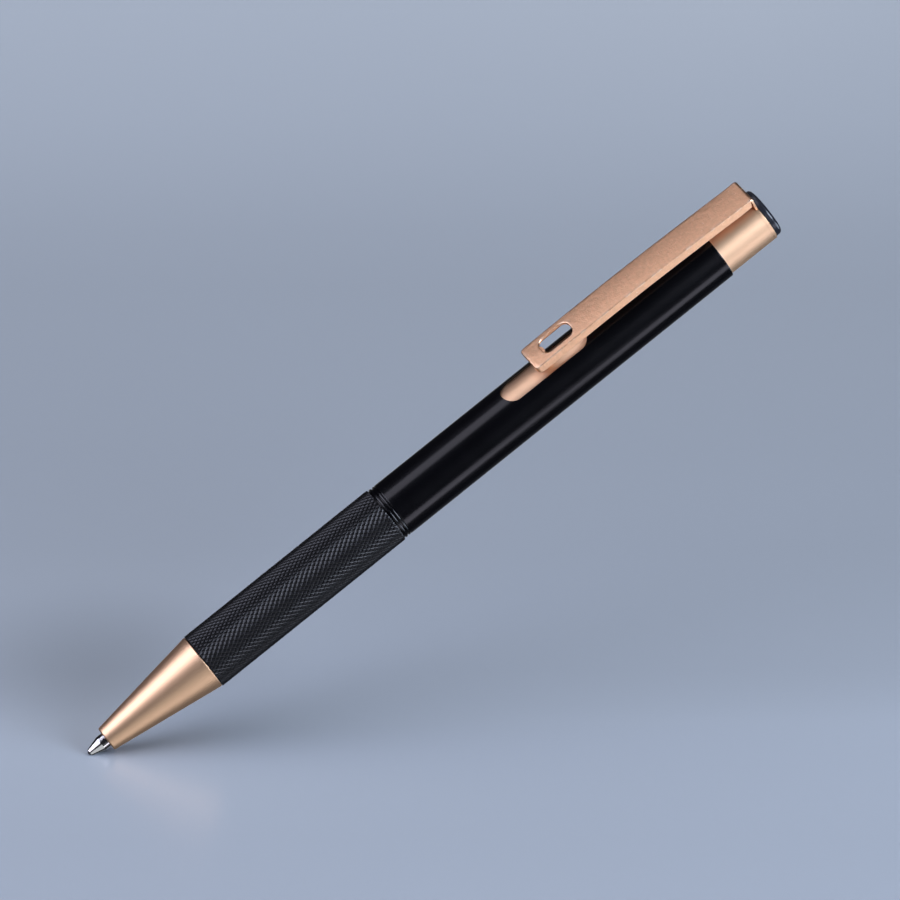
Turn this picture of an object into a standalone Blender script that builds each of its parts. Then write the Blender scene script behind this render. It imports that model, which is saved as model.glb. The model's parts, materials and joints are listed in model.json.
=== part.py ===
"""Retractable ballpoint pen with a knurled grip and a press cap that carries the clip.

The pen lies along +X with its writing tip towards -X and its clip on top, towards +Z.
Each piece is drawn upright about its own Z axis: z is the distance behind the front of the
ball, and +X is the side that carries the clip. The empty pen_axis lays the pen down, so that
the middle of the pen is above the origin and the grip touches the plane z = 0.
The pen is drawn with its tip out. All sizes are in metres.
"""

import math

import bmesh
import bpy
from mathutils import Matrix

MM = 0.001

# Gaps between pieces
SEAM = 0.05 * MM
SEAT_GAP = 0.1 * MM
STOP_GAP = 0.1 * MM
SLIDE_CLEARANCE = 0.07 * MM
GUIDE_CLEARANCE = 0.1 * MM
REFILL_CLEARANCE = 0.25 * MM

# Travel of the press cap, from the tip-out rest
RETRACT_TRAVEL = 5.6 * MM
OVERTRAVEL = 1.2 * MM

# Writing point
BALL_DIAMETER = 1.0 * MM
BALL_REACH = 0.33 * MM
BALL_CLEARANCE = 0.03 * MM
SOCKET_WALL = 0.06 * MM
SOCKET_DEPTH = 0.9 * MM
POINT_CONE_LENGTH = 2.25 * MM
POINT_DIAMETER = 2.5 * MM
POINT_LENGTH = 14.0 * MM
POINT_CHANNEL = 0.8 * MM
FEED_HOLE = 0.4 * MM

# Refill
REFILL_LENGTH = 98.0 * MM
REFILL_DIAMETER = 5.9 * MM
REFILL_WALL = 0.35 * MM
SHOULDER_FROM_BALL = 24.0 * MM
SHOULDER_WIDTH = 1.5 * MM
HOLDER_DIAMETER = 3.2 * MM
HOLDER_OVERLAP = 2.5 * MM
HOLDER_CHANNEL = 1.6 * MM
HOLDER_SPIGOT = 5.5 * MM
PLUG_CAP_LENGTH = 5.9 * MM
PLUG_SPIGOT = 5.0 * MM
PLUG_VENT = 1.0 * MM
INK_LENGTH = 42.0 * MM

# Nose cone
POINT_REACH = 3.65 * MM
NOSE_LENGTH = 19.92 * MM
NOSE_FRONT_DIAMETER = 4.34 * MM
NOSE_BASE_DIAMETER = 9.8 * MM
NOSE_RIM_ROUND = 0.3 * MM
NOSE_BORE = 2.9 * MM
NOSE_BORE_LENGTH = 6.35 * MM
SPRING_CHAMBER = 4.7 * MM
SPRING_CHAMBER_LENGTH = 11.6 * MM
EDGE_BREAK = 0.1 * MM

# Grip
GRIP_DIAMETER = 10.0 * MM
GRIP_LENGTH = 37.6 * MM
GRIP_EDGE = 0.2 * MM
THREAD_DIAMETER = 7.9 * MM
THREAD_LENGTH = 7.4 * MM
THREAD_RUNOUT = 0.6 * MM

# Joint between grip and barrel
JOINT_GROOVE = 0.18 * MM
RING_WIDTH = 0.5 * MM
RING_DIAMETER = 9.7 * MM
FLANGE_WIDTH = 0.42 * MM
CONNECTOR_SPIGOT = 5.5 * MM
CARRIER_SEAT = 5.0 * MM

# Barrel
BARREL_DIAMETER = 9.68 * MM
BARREL_WALL = 0.27 * MM
BARREL_EDGE = 0.12 * MM
SLOT_LENGTH = 16.9 * MM
SLOT_WIDTH = 4.4 * MM
SLOT_FROM_TOP = 24.76 * MM

# Cam mechanism
CARRIER_WALL = 0.3 * MM
CAM_SPIGOT = 4.0 * MM
CAM_WALL = 0.3 * MM
CAM_RIB_HEIGHT = 0.65 * MM
CAM_COLLAR = 1.8 * MM
CAM_DEPTH_IN_BARREL = 9.11 * MM
CAM_TEETH = 8
CAM_TOOTH_HEIGHT = 0.5 * MM
CHANNEL_COUNT = 4
CHANNEL_ANGLE = math.radians(44.0)
SPLINE_ANGLE = math.radians(24.0)
ROTOR_FOOT = 2.9 * MM
SPLINE_LENGTH = 3.0 * MM
ROTOR_NECK = 1.9 * MM
ROTOR_BORE = 2.6 * MM
PUSHER_TOE = 1.0 * MM
PUSHER_RIB_LENGTH = 5.0 * MM
PUSHER_STEM = 4.8 * MM
PUSHER_BORE = 2.8 * MM

# Press cap
SLEEVE_WALL = 0.4 * MM
CAP_SHOW = 8.85 * MM
PLUG_LENGTH = 9.4 * MM
PLUG_SOCKET = 2.9 * MM
SCREW_DIAMETER = 2.0 * MM
SCREW_HOLE_GAP = 0.05 * MM
SCREW_GRIP = 5.0 * MM
SCREW_HEAD_DIAMETER = 4.4 * MM
SCREW_HEAD_HEIGHT = 0.6 * MM
FINIAL_DIAMETER = 8.5 * MM
FINIAL_HEIGHT = 1.3 * MM
FINIAL_DOME = 0.3 * MM
FINIAL_EDGE_WIDTH = 0.55 * MM

# Clip
CLIP_LENGTH = 44.0 * MM
CLIP_WIDTH = 5.4 * MM
CLIP_HEIGHT = 1.8 * MM
CLIP_SHEET = 0.5 * MM
CLIP_ROOT_HEIGHT = 7.45 * MM
CLIP_RISE = 0.78 * MM
CLIP_CREST = 0.68
CLIP_CORNER = 0.9 * MM
CLIP_EDGE_ROUND = 0.45 * MM
CLIP_STATIONS = 12
WINDOW_LENGTH = 6.05 * MM
WINDOW_WIDTH = 3.2 * MM
WINDOW_CORNER = 0.95 * MM
WINDOW_FROM_END = 2.9 * MM
FOOT_DIAMETER = 2.2 * MM
FOOT_FROM_END = 1.75 * MM
FOOT_CLEARANCE = 0.15 * MM

# Return spring
SPRING_WIRE = 0.4 * MM
SPRING_DIAMETER = 4.4 * MM
SPRING_TURNS = 9
SPRING_POINTS_PER_TURN = 10

# Facets round each turned piece
OUTER_STEPS = 48
INNER_STEPS = 32
ARC_STEPS = 3
CORNER_STEPS = 4
BALL_SEGMENTS = 16
BALL_RINGS = 10

# Radii that fits set
ball_radius = BALL_DIAMETER / 2
point_radius = POINT_DIAMETER / 2
refill_radius = REFILL_DIAMETER / 2
refill_bore = refill_radius - REFILL_WALL
passage_radius = refill_radius + REFILL_CLEARANCE
thread_radius = THREAD_DIAMETER / 2
barrel_radius = BARREL_DIAMETER / 2
barrel_bore = barrel_radius - BARREL_WALL
sleeve_radius = barrel_bore - SLIDE_CLEARANCE
sleeve_bore = sleeve_radius - SLEEVE_WALL
carrier_radius = sleeve_bore - GUIDE_CLEARANCE
carrier_bore = carrier_radius - CARRIER_WALL
cam_bore = carrier_radius - CAM_WALL
cam_rib_radius = cam_bore - CAM_RIB_HEIGHT
spline_radius = cam_bore - GUIDE_CLEARANCE
cam_core_radius = cam_rib_radius - GUIDE_CLEARANCE

# Stations along the pen, from the front of the ball
nose_front = POINT_REACH
nose_base = nose_front + NOSE_LENGTH
spring_seat = nose_front + NOSE_BORE_LENGTH
chamber_end = spring_seat + SPRING_CHAMBER_LENGTH
grip_front = nose_base + SEAM
grip_rear = grip_front + GRIP_LENGTH
ring_front = grip_rear + JOINT_GROOVE
ring_rear = ring_front + RING_WIDTH
flange_front = ring_rear + JOINT_GROOVE
flange_rear = flange_front + FLANGE_WIDTH
barrel_front = flange_rear + SEAM
connector_rear = flange_rear + CONNECTOR_SPIGOT
sleeve_front = connector_rear + OVERTRAVEL + STOP_GAP
rotor_front = REFILL_LENGTH + SEAT_GAP
spline_front = rotor_front + ROTOR_FOOT
spline_rear = spline_front + SPLINE_LENGTH
rotor_rear = spline_rear + ROTOR_NECK
cam_ledge = spline_rear + SEAT_GAP + CAM_TOOTH_HEIGHT
cam_shoulder = spline_front - OVERTRAVEL - SEAT_GAP
pusher_front = rotor_rear + SEAT_GAP + CAM_TOOTH_HEIGHT
pusher_rib_front = pusher_front + PUSHER_TOE
pusher_rib_rear = pusher_rib_front + PUSHER_RIB_LENGTH
channel_rear = pusher_rib_rear + RETRACT_TRAVEL + STOP_GAP
cam_rear = channel_rear + CAM_COLLAR
barrel_rear = cam_rear + CAM_DEPTH_IN_BARREL
slot_rear = barrel_rear - SLOT_FROM_TOP
slot_middle = slot_rear - SLOT_LENGTH / 2
sleeve_rear = barrel_rear + CAP_SHOW
plug_front = sleeve_rear - PLUG_LENGTH
pusher_rear = plug_front + PLUG_SOCKET - SEAT_GAP
clip_plate_front = sleeve_rear + SEAM
clip_rear = clip_plate_front + CLIP_SHEET
clip_front = clip_rear - CLIP_LENGTH
finial_front = clip_rear + SEAM
finial_rear = finial_front + FINIAL_HEIGHT
pen_length = finial_rear


def zigzag(turn, teeth):
    """Height from 0 to 1 of a row of even teeth, after part of a turn."""
    phase = (turn * teeth) % 1.0
    return 1.0 - abs(2.0 * phase - 1.0)


def arc(centre, radius, start, end, steps=ARC_STEPS):
    """Points of a circular arc in the plane of an outline, angles in degrees."""
    angles = [math.radians(start + (end - start) * k / steps) for k in range(steps + 1)]
    return [(centre[0] + radius * math.cos(a), centre[1] + radius * math.sin(a)) for a in angles]


def rounded_outline(length, width, corner, steps=CORNER_STEPS):
    """Closed outline of a rectangle with round corners, centred on the origin."""
    corners = []
    for sign_x, sign_y, start in ((1, 1, 0), (-1, 1, 90), (-1, -1, 180), (1, -1, 270)):
        centre = (sign_x * (length / 2 - corner), sign_y * (width / 2 - corner))
        corners += arc(centre, corner, start, start + 90, steps)
    kept = [corners[0]]
    for point in corners[1:]:
        if math.dist(point, kept[-1]) > 1e-3 * MM:
            kept.append(point)
    return kept


def clear_scene():
    """Remove whatever the new file holds."""
    for obj in list(bpy.data.objects):
        bpy.data.objects.remove(obj, do_unlink=True)


def new_collection(name):
    """Collection of that name under the scene."""
    group = bpy.data.collections.new(name)
    bpy.context.scene.collection.children.link(group)
    return group


def finish(name, colour, roughness, metallic):
    """Plain surface of one colour."""
    material = bpy.data.materials.new(name)
    material.use_nodes = True
    shader = material.node_tree.nodes["Principled BSDF"]
    shader.inputs["Base Color"].default_value = (*colour, 1.0)
    shader.inputs["Roughness"].default_value = roughness
    shader.inputs["Metallic"].default_value = metallic
    return material


def baked_mesh(obj):
    """The mesh of an object with its modifiers worked out."""
    graph = bpy.context.evaluated_depsgraph_get()
    return bpy.data.meshes.new_from_object(obj.evaluated_get(graph))


def add_object(name, mesh, group):
    """New object in a collection."""
    obj = bpy.data.objects.new(name, mesh)
    group.objects.link(obj)
    return obj


def smooth(obj):
    """Shade the round faces smooth and keep the edges between them sharp."""
    obj.data.shade_smooth()
    obj.data.set_sharp_from_angle(angle=math.radians(30.0))


def turned(name, outline, steps, group, sweep=2 * math.pi):
    """Turn an outline of (radius, z) points about Z.

    The outline runs down the outer side and back up the inner one. One that starts and ends
    on the axis makes a solid piece, any other is closed and makes a ring.
    """
    solid = outline[0][0] == 0.0 and outline[-1][0] == 0.0
    count = len(outline)
    links = [(k, k + 1) for k in range(count - 1)]
    if not solid:
        links.append((count - 1, 0))
    mesh = bpy.data.meshes.new(name)
    mesh.from_pydata([(radius, 0.0, z) for radius, z in outline], links, [])
    obj = add_object(name, mesh, group)
    screw = obj.modifiers.new("turn", "SCREW")
    screw.axis = "Z"
    screw.angle = sweep
    screw.steps = steps
    screw.render_steps = steps
    screw.use_merge_vertices = True
    screw.merge_threshold = 0.001 * MM
    obj.data = baked_mesh(obj)
    obj.modifiers.clear()
    return obj


def sector(name, outline, middle, width, steps, group):
    """Part of a turned ring, closed by a flat face at each end.

    middle is the angle of its middle from +X, and width the angle that it spans.
    """
    obj = turned(name, outline, steps, group, sweep=width)
    work = bmesh.new()
    work.from_mesh(obj.data)
    ends = [edge for edge in work.edges if edge.is_boundary]
    bmesh.ops.holes_fill(work, edges=ends, sides=0)
    bmesh.ops.recalc_face_normals(work, faces=work.faces)
    bmesh.ops.rotate(work, matrix=Matrix.Rotation(middle - width / 2, 3, "Z"), verts=work.verts)
    work.to_mesh(obj.data)
    work.free()
    return obj


def flat_plate(name, outline, thickness, group):
    """Plate of a flat outline, as thick as asked, half of it above the outline's plane."""
    curve = bpy.data.curves.new(name, "CURVE")
    curve.dimensions = "2D"
    curve.fill_mode = "BOTH"
    curve.extrude = thickness / 2
    spline = curve.splines.new("POLY")
    spline.points.add(len(outline) - 1)
    for point, (x, y) in zip(spline.points, outline):
        point.co = (x, y, 0.0, 1.0)
    spline.use_cyclic_u = True
    drawn = add_object(name + "_outline", curve, group)
    obj = add_object(name, weld(baked_mesh(drawn)), group)
    bpy.data.objects.remove(drawn)
    return obj


def weld(mesh):
    """Join the points that meet and turn all faces outwards."""
    work = bmesh.new()
    work.from_mesh(mesh)
    bmesh.ops.remove_doubles(work, verts=work.verts, dist=0.001 * MM)
    bmesh.ops.recalc_face_normals(work, faces=work.faces)
    work.to_mesh(mesh)
    work.free()
    return mesh


def place(obj, matrix):
    """Move the mesh of an object and leave its origin where it is."""
    obj.data.transform(matrix)
    obj.data.update()


def combine(obj, other, operation):
    """Join another closed solid to a piece, or cut it out, and hide that solid as a guide."""
    step = obj.modifiers.new(other.name, "BOOLEAN")
    step.operation = operation
    step.solver = "EXACT"
    step.object = other
    other.hide_render = True
    other.display_type = "WIRE"


def settle(obj):
    """Work out the modifiers of a piece for good."""
    obj.data = baked_mesh(obj)
    obj.modifiers.clear()


def tooth_rim(obj, station, teeth, height, inner, outer):
    """Cut even teeth in the flat rim that lies at a station between two radii.

    The rim's points are lifted by a zigzag of the angle round the axis.
    """
    for vertex in obj.data.vertices:
        radius = math.hypot(vertex.co.x, vertex.co.y)
        on_rim = abs(vertex.co.z - station) < 0.001 * MM
        if on_rim and inner - 0.001 * MM < radius < outer + 0.001 * MM:
            turn = math.atan2(vertex.co.y, vertex.co.x) / (2 * math.pi)
            vertex.co.z += height * zigzag(turn, teeth)


def build_nose(group):
    """Cone with a bore for the point, a chamber for the spring and a threaded spigot."""
    front = NOSE_FRONT_DIAMETER / 2
    base = NOSE_BASE_DIAMETER / 2
    chamber = SPRING_CHAMBER / 2
    spigot = thread_radius
    spigot_rear = nose_base + THREAD_LENGTH
    rim_centre = (front - NOSE_RIM_ROUND, nose_front + NOSE_RIM_ROUND)
    outline = [(spigot - EDGE_BREAK, spigot_rear), (spigot, spigot_rear - EDGE_BREAK)]
    outline += [(spigot, nose_base), (base - EDGE_BREAK, nose_base)]
    outline += [(base, nose_base - EDGE_BREAK)]
    outline += arc(rim_centre, NOSE_RIM_ROUND, 0, -90)
    outline += [(NOSE_BORE / 2, nose_front), (NOSE_BORE / 2, spring_seat)]
    outline += [(chamber, spring_seat), (chamber, chamber_end)]
    outline += [(passage_radius, chamber_end + passage_radius - chamber)]
    outline += [(passage_radius, spigot_rear)]
    return turned("nose_cone", outline, OUTER_STEPS, group)


def build_grip(group):
    """Thick tube with a threaded counterbore at each end."""
    radius = GRIP_DIAMETER / 2
    thread = thread_radius + SEAM
    depth = THREAD_LENGTH + THREAD_RUNOUT
    outline = [(radius - GRIP_EDGE, grip_rear), (radius, grip_rear - GRIP_EDGE)]
    outline += [(radius, grip_front + GRIP_EDGE), (radius - GRIP_EDGE, grip_front)]
    outline += [(thread, grip_front), (thread, grip_front + depth)]
    outline += [(passage_radius, grip_front + depth), (passage_radius, grip_rear - depth)]
    outline += [(thread, grip_rear - depth), (thread, grip_rear)]
    return turned("grip", outline, OUTER_STEPS, group)


def build_joint_ring(group):
    """Trim ring that is clamped between the grip and the connector's flange."""
    radius = RING_DIAMETER / 2
    bore = thread_radius + SEAM
    outline = [(radius - EDGE_BREAK, ring_rear), (radius, ring_rear - EDGE_BREAK)]
    outline += [(radius, ring_front + EDGE_BREAK), (radius - EDGE_BREAK, ring_front)]
    outline += [(bore, ring_front), (bore, ring_rear)]
    return turned("joint_ring", outline, OUTER_STEPS, group)


def build_connector(group):
    """Threaded connector: screws into the grip, carries the barrel and the carrier tube."""
    spigot = barrel_bore - SEAM
    flange = RING_DIAMETER / 2
    seat = carrier_radius + SEAM
    seat_front = connector_rear - CARRIER_SEAT
    thread_front = grip_rear - THREAD_LENGTH
    outline = [(spigot, connector_rear), (spigot, flange_rear)]
    outline += [(flange - EDGE_BREAK, flange_rear), (flange, flange_rear - EDGE_BREAK)]
    outline += [(flange, flange_front + EDGE_BREAK), (flange - EDGE_BREAK, flange_front)]
    outline += [(thread_radius, flange_front), (thread_radius, thread_front)]
    outline += [(passage_radius, thread_front), (passage_radius, seat_front)]
    outline += [(seat, seat_front), (seat, connector_rear)]
    return turned("connector", outline, OUTER_STEPS, group)


def build_barrel(group, cutters):
    """Thin tube with a long slot on the clip side."""
    outline = [(barrel_radius - BARREL_EDGE, barrel_rear)]
    outline += [(barrel_radius, barrel_rear - BARREL_EDGE)]
    outline += [(barrel_radius, barrel_front + BARREL_EDGE)]
    outline += [(barrel_radius - BARREL_EDGE, barrel_front)]
    outline += [(barrel_bore, barrel_front), (barrel_bore, barrel_rear)]
    barrel = turned("barrel", outline, OUTER_STEPS, group)
    slot_outline = rounded_outline(SLOT_LENGTH, SLOT_WIDTH, SLOT_WIDTH / 2, 2 * CORNER_STEPS)
    slot = flat_plate("slot_cutter", slot_outline, barrel_radius, cutters)
    place(slot, on_clip_side(barrel_radius, slot_middle))
    combine(barrel, slot, "DIFFERENCE")
    settle(barrel)
    return barrel


def on_clip_side(height, station):
    """Place for a plate drawn flat: its length along the pen, its face towards the clip."""
    turn = Matrix(((0, 0, 1, 0), (0, 1, 0, 0), (-1, 0, 0, 0), (0, 0, 0, 1)))
    return Matrix.Translation((height, 0.0, station)) @ turn


def build_carrier(group):
    """Tube from the connector to the cam housing, inside the sliding sleeve."""
    front = connector_rear - CARRIER_SEAT + SEAT_GAP
    rear = cam_shoulder - SEAT_GAP
    outline = [(carrier_radius, rear), (carrier_radius, front)]
    outline += [(carrier_bore, front), (carrier_bore, rear)]
    return turned("carrier_tube", outline, INNER_STEPS, group)


def build_cam_housing(group, cutters):
    """Moulded housing: toothed ribs inside, and channels between them for the splines."""
    spigot = carrier_bore - SEAM
    spigot_front = cam_shoulder - CAM_SPIGOT
    entry = cam_shoulder + SEAT_GAP
    outline = [(carrier_radius, cam_rear), (carrier_radius, cam_shoulder)]
    outline += [(spigot, cam_shoulder), (spigot, spigot_front)]
    outline += [(passage_radius, spigot_front), (passage_radius, cam_shoulder)]
    outline += [(cam_bore, entry), (cam_bore, cam_ledge)]
    outline += [(cam_rib_radius, cam_ledge), (cam_rib_radius, cam_rear)]
    housing = turned("cam_housing", outline, OUTER_STEPS, group)
    tooth_rim(housing, cam_ledge, CAM_TEETH, -CAM_TOOTH_HEIGHT, cam_rib_radius, cam_bore)
    low = cam_ledge - 2 * CAM_TOOTH_HEIGHT
    inside = cam_rib_radius - CAM_RIB_HEIGHT
    cut = [(cam_bore, channel_rear), (cam_bore, low), (inside, low), (inside, channel_rear)]
    for index in range(CHANNEL_COUNT):
        middle = 2 * math.pi * index / CHANNEL_COUNT
        channel = sector(f"channel_{index}", cut, middle, CHANNEL_ANGLE, 6, cutters)
        combine(housing, channel, "DIFFERENCE")
    settle(housing)
    return housing


def add_splines(obj, front, rear, bore, cutters):
    """Join splines that run in the cam channels to a round core."""
    root = (cam_core_radius + bore) / 2
    outline = [(spline_radius, rear), (spline_radius, front), (root, front), (root, rear)]
    for index in range(CHANNEL_COUNT):
        middle = 2 * math.pi * index / CHANNEL_COUNT
        name = f"{obj.name}_spline_{index}"
        spline = sector(name, outline, middle, SPLINE_ANGLE, 3, cutters)
        combine(obj, spline, "UNION")
    settle(obj)


def build_rotor(group, cutters):
    """Rotating cam: sits on the refill, with splines and a toothed rear rim."""
    bore = ROTOR_BORE / 2
    outline = [(cam_core_radius, rotor_rear), (cam_core_radius, rotor_front)]
    outline += [(bore, rotor_front), (bore, rotor_rear)]
    rotor = turned("rotor", outline, OUTER_STEPS, group)
    tooth_rim(rotor, rotor_rear, CAM_TEETH, -CAM_TOOTH_HEIGHT, bore, cam_core_radius)
    add_splines(rotor, spline_front, spline_rear, bore, cutters)
    return rotor


def build_pusher(group, cutters):
    """Push piece: toothed front rim, ribs that run in the channels and a long stem."""
    bore = PUSHER_BORE / 2
    stem = PUSHER_STEM / 2
    outline = [(stem, pusher_rear), (stem, pusher_rib_rear + SEAT_GAP)]
    outline += [(cam_core_radius, pusher_rib_rear - SEAT_GAP), (cam_core_radius, pusher_front)]
    outline += [(bore, pusher_front), (bore, pusher_rear)]
    pusher = turned("pusher", outline, OUTER_STEPS, group)
    tooth_rim(pusher, pusher_front, CAM_TEETH, -CAM_TOOTH_HEIGHT, bore, cam_core_radius)
    add_splines(pusher, pusher_rib_front, pusher_rib_rear - 2 * SEAT_GAP, bore, cutters)
    return pusher


def build_sleeve(group):
    """Tube that slides in the barrel; its rear end shows as the press cap."""
    outline = [(sleeve_radius, sleeve_rear), (sleeve_radius, sleeve_front + EDGE_BREAK)]
    outline += [(sleeve_radius - EDGE_BREAK, sleeve_front), (sleeve_bore, sleeve_front)]
    outline += [(sleeve_bore, sleeve_rear)]
    return turned("sleeve", outline, OUTER_STEPS, group)


def build_end_plug(group):
    """Plug in the rear of the sleeve: holds the pusher and takes the clip screw."""
    radius = sleeve_bore - SEAM
    socket = PUSHER_STEM / 2 + SEAM
    hole = SCREW_DIAMETER / 2 + SCREW_HOLE_GAP
    outline = [(radius, sleeve_rear), (radius, plug_front), (socket, plug_front)]
    outline += [(socket, plug_front + PLUG_SOCKET), (hole, plug_front + PLUG_SOCKET)]
    outline += [(hole, sleeve_rear)]
    return turned("end_plug", outline, INNER_STEPS, group)


def build_clip_screw(group):
    """Screw that clamps the clip's end plate to the end plug."""
    shank = SCREW_DIAMETER / 2
    head = SCREW_HEAD_DIAMETER / 2
    tip = clip_rear - SCREW_GRIP
    head_rear = finial_front + SCREW_HEAD_HEIGHT
    outline = [(0.0, head_rear), (head - EDGE_BREAK, head_rear), (head, head_rear - EDGE_BREAK)]
    outline += [(head, finial_front), (shank, finial_front), (shank, tip + EDGE_BREAK)]
    outline += [(shank - EDGE_BREAK, tip), (0.0, tip)]
    return turned("clip_screw", outline, INNER_STEPS, group)


def build_finial(group):
    """Low dome-edged button that hides the screw head."""
    radius = FINIAL_DIAMETER / 2
    flat = radius - FINIAL_EDGE_WIDTH
    middle = radius - FINIAL_EDGE_WIDTH / 4
    recess = SCREW_HEAD_DIAMETER / 2 + SEAM
    recess_top = finial_front + SCREW_HEAD_HEIGHT + SEAM
    outline = [(0.0, finial_rear), (flat, finial_rear)]
    outline += [(middle, finial_rear - FINIAL_DOME / 2), (radius, finial_rear - 2 * FINIAL_DOME)]
    outline += [(radius, finial_front + EDGE_BREAK), (radius - EDGE_BREAK, finial_front)]
    outline += [(recess, finial_front), (recess, recess_top), (0.0, recess_top)]
    return turned("finial", outline, OUTER_STEPS, group)


def clip_height(station):
    """Distance of the clip's face from the pen's axis: half a wave that crests mid-way."""
    share = (clip_rear - station) / CLIP_LENGTH
    return CLIP_ROOT_HEIGHT + CLIP_RISE * math.sin(0.5 * math.pi * share / CLIP_CREST)


def clip_block(name, inset, depth, corner, edge_round, rear, group):
    """Long block that follows the clip's arch, its face inset from the clip's own.

    The block is a cube with its two front corners and the rim of its face rounded, cut into
    stations along the pen and then raised to the arch.
    """
    front = clip_front + inset
    size = (depth, CLIP_WIDTH - 2 * inset, rear - front)
    work = bmesh.new()
    bmesh.ops.create_cube(work, size=1.0, matrix=Matrix.Diagonal((*size, 1.0)))
    bmesh.ops.translate(work, vec=(-depth / 2 - inset, 0.0, (front + rear) / 2), verts=work.verts)

    def is_front_corner(edge):
        upright = abs(edge.verts[0].co.x - edge.verts[1].co.x) > depth / 2
        return upright and edge.verts[0].co.z < (front + rear) / 2

    corners = [edge for edge in work.edges if is_front_corner(edge)]
    bmesh.ops.bevel(work, geom=corners, offset=corner, segments=CORNER_STEPS, profile=0.5,
                    affect="EDGES")
    face_level = -inset - 0.001 * MM
    rim = [e for e in work.edges if all(v.co.x > face_level for v in e.verts)]
    bmesh.ops.bevel(work, geom=rim, offset=edge_round, segments=ARC_STEPS, profile=0.5,
                    affect="EDGES")
    first = front + corner + edge_round
    last = rear - 2 * edge_round
    for index in range(CLIP_STATIONS + 1):
        station = first + (last - first) * index / CLIP_STATIONS
        parts = work.verts[:] + work.edges[:] + work.faces[:]
        bmesh.ops.bisect_plane(work, geom=parts, plane_co=(0.0, 0.0, station),
                               plane_no=(0.0, 0.0, 1.0), dist=0.001 * MM)
    for vertex in work.verts:
        vertex.co.x += clip_height(vertex.co.z)
    mesh = bpy.data.meshes.new(name)
    work.to_mesh(mesh)
    work.free()
    return add_object(name, mesh, group)


def end_plate_outline():
    """Outline of the clip's end plate: a disc on the axis with a tab up to the clip's face."""
    radius = sleeve_radius
    half = CLIP_WIDTH / 2 - CLIP_SHEET / 2
    top = clip_height(clip_rear) - CLIP_SHEET / 2
    meet = math.degrees(math.asin(half / radius))
    disc = arc((0.0, 0.0), radius, meet, 360.0 - meet, OUTER_STEPS - 8)
    return [(top, half)] + disc + [(top, -half)]


def build_clip(group, cutters):
    """Channel-shaped clip with a window, a foot for the slot and a plate under the finial."""
    clip = clip_block("clip", 0.0, CLIP_HEIGHT, CLIP_CORNER, CLIP_EDGE_ROUND,
                      clip_rear - CLIP_SHEET / 2, group)
    hollow = clip_block("clip_hollow", CLIP_SHEET, CLIP_HEIGHT, CLIP_CORNER - CLIP_SHEET,
                        CLIP_EDGE_ROUND / 3, clip_plate_front + CLIP_SHEET / 4, cutters)
    combine(clip, hollow, "DIFFERENCE")
    plate = flat_plate("clip_end_plate", end_plate_outline(), CLIP_SHEET, cutters)
    place(plate, Matrix.Translation((0.0, 0.0, (clip_plate_front + clip_rear) / 2)))
    combine(clip, plate, "UNION")
    hole_radius = SCREW_DIAMETER / 2 + SCREW_HOLE_GAP
    low = clip_plate_front - CLIP_SHEET
    high = clip_rear + CLIP_SHEET
    hole_outline = [(0.0, high), (hole_radius, high), (hole_radius, low), (0.0, low)]
    combine(clip, turned("clip_hole", hole_outline, INNER_STEPS, cutters), "DIFFERENCE")
    window_outline = rounded_outline(WINDOW_LENGTH, WINDOW_WIDTH, WINDOW_CORNER)
    window = flat_plate("clip_window", window_outline, 2 * CLIP_HEIGHT, cutters)
    window_middle = clip_front + WINDOW_FROM_END + WINDOW_LENGTH / 2
    place(window, on_clip_side(clip_height(window_middle), window_middle))
    combine(clip, window, "DIFFERENCE")
    foot_station = clip_front + FOOT_FROM_END
    foot_low = sleeve_radius + FOOT_CLEARANCE
    foot_high = clip_height(foot_station) - CLIP_SHEET / 2
    foot_radius = FOOT_DIAMETER / 2
    foot_outline = [(0.0, foot_high), (foot_radius, foot_high)]
    foot_outline += arc((foot_radius - CLIP_SHEET, foot_low + CLIP_SHEET), CLIP_SHEET, 0, -90)
    foot_outline += [(0.0, foot_low)]
    foot = turned("clip_foot", foot_outline, BALL_SEGMENTS, cutters)
    place(foot, on_clip_side(0.0, foot_station))
    combine(clip, foot, "UNION")
    settle(clip)
    return clip


def build_point(group):
    """Metal point: socket for the ball, a slim cone and a shank with an ink channel."""
    lip = BALL_REACH
    cone_rear = lip + POINT_CONE_LENGTH
    rear = lip + POINT_LENGTH
    cup = ball_radius + BALL_CLEARANCE
    lip_height = ball_radius - lip
    lip_bore = math.sqrt(ball_radius ** 2 - lip_height ** 2) + BALL_CLEARANCE
    lip_width = cup + SOCKET_WALL
    feed = FEED_HOLE / 2
    channel = POINT_CHANNEL / 2
    feed_front = lip + SOCKET_DEPTH
    outline = [(point_radius - EDGE_BREAK, rear), (point_radius, rear - EDGE_BREAK)]
    outline += [(point_radius, cone_rear), (lip_width, lip)]
    outline += [(lip_bore, lip), (cup, ball_radius), (cup, feed_front - cup / 2)]
    outline += [(feed, feed_front), (feed, feed_front + FEED_HOLE)]
    outline += [(channel, feed_front + FEED_HOLE), (channel, rear)]
    return turned("tip_cone", outline, INNER_STEPS, group)


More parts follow.
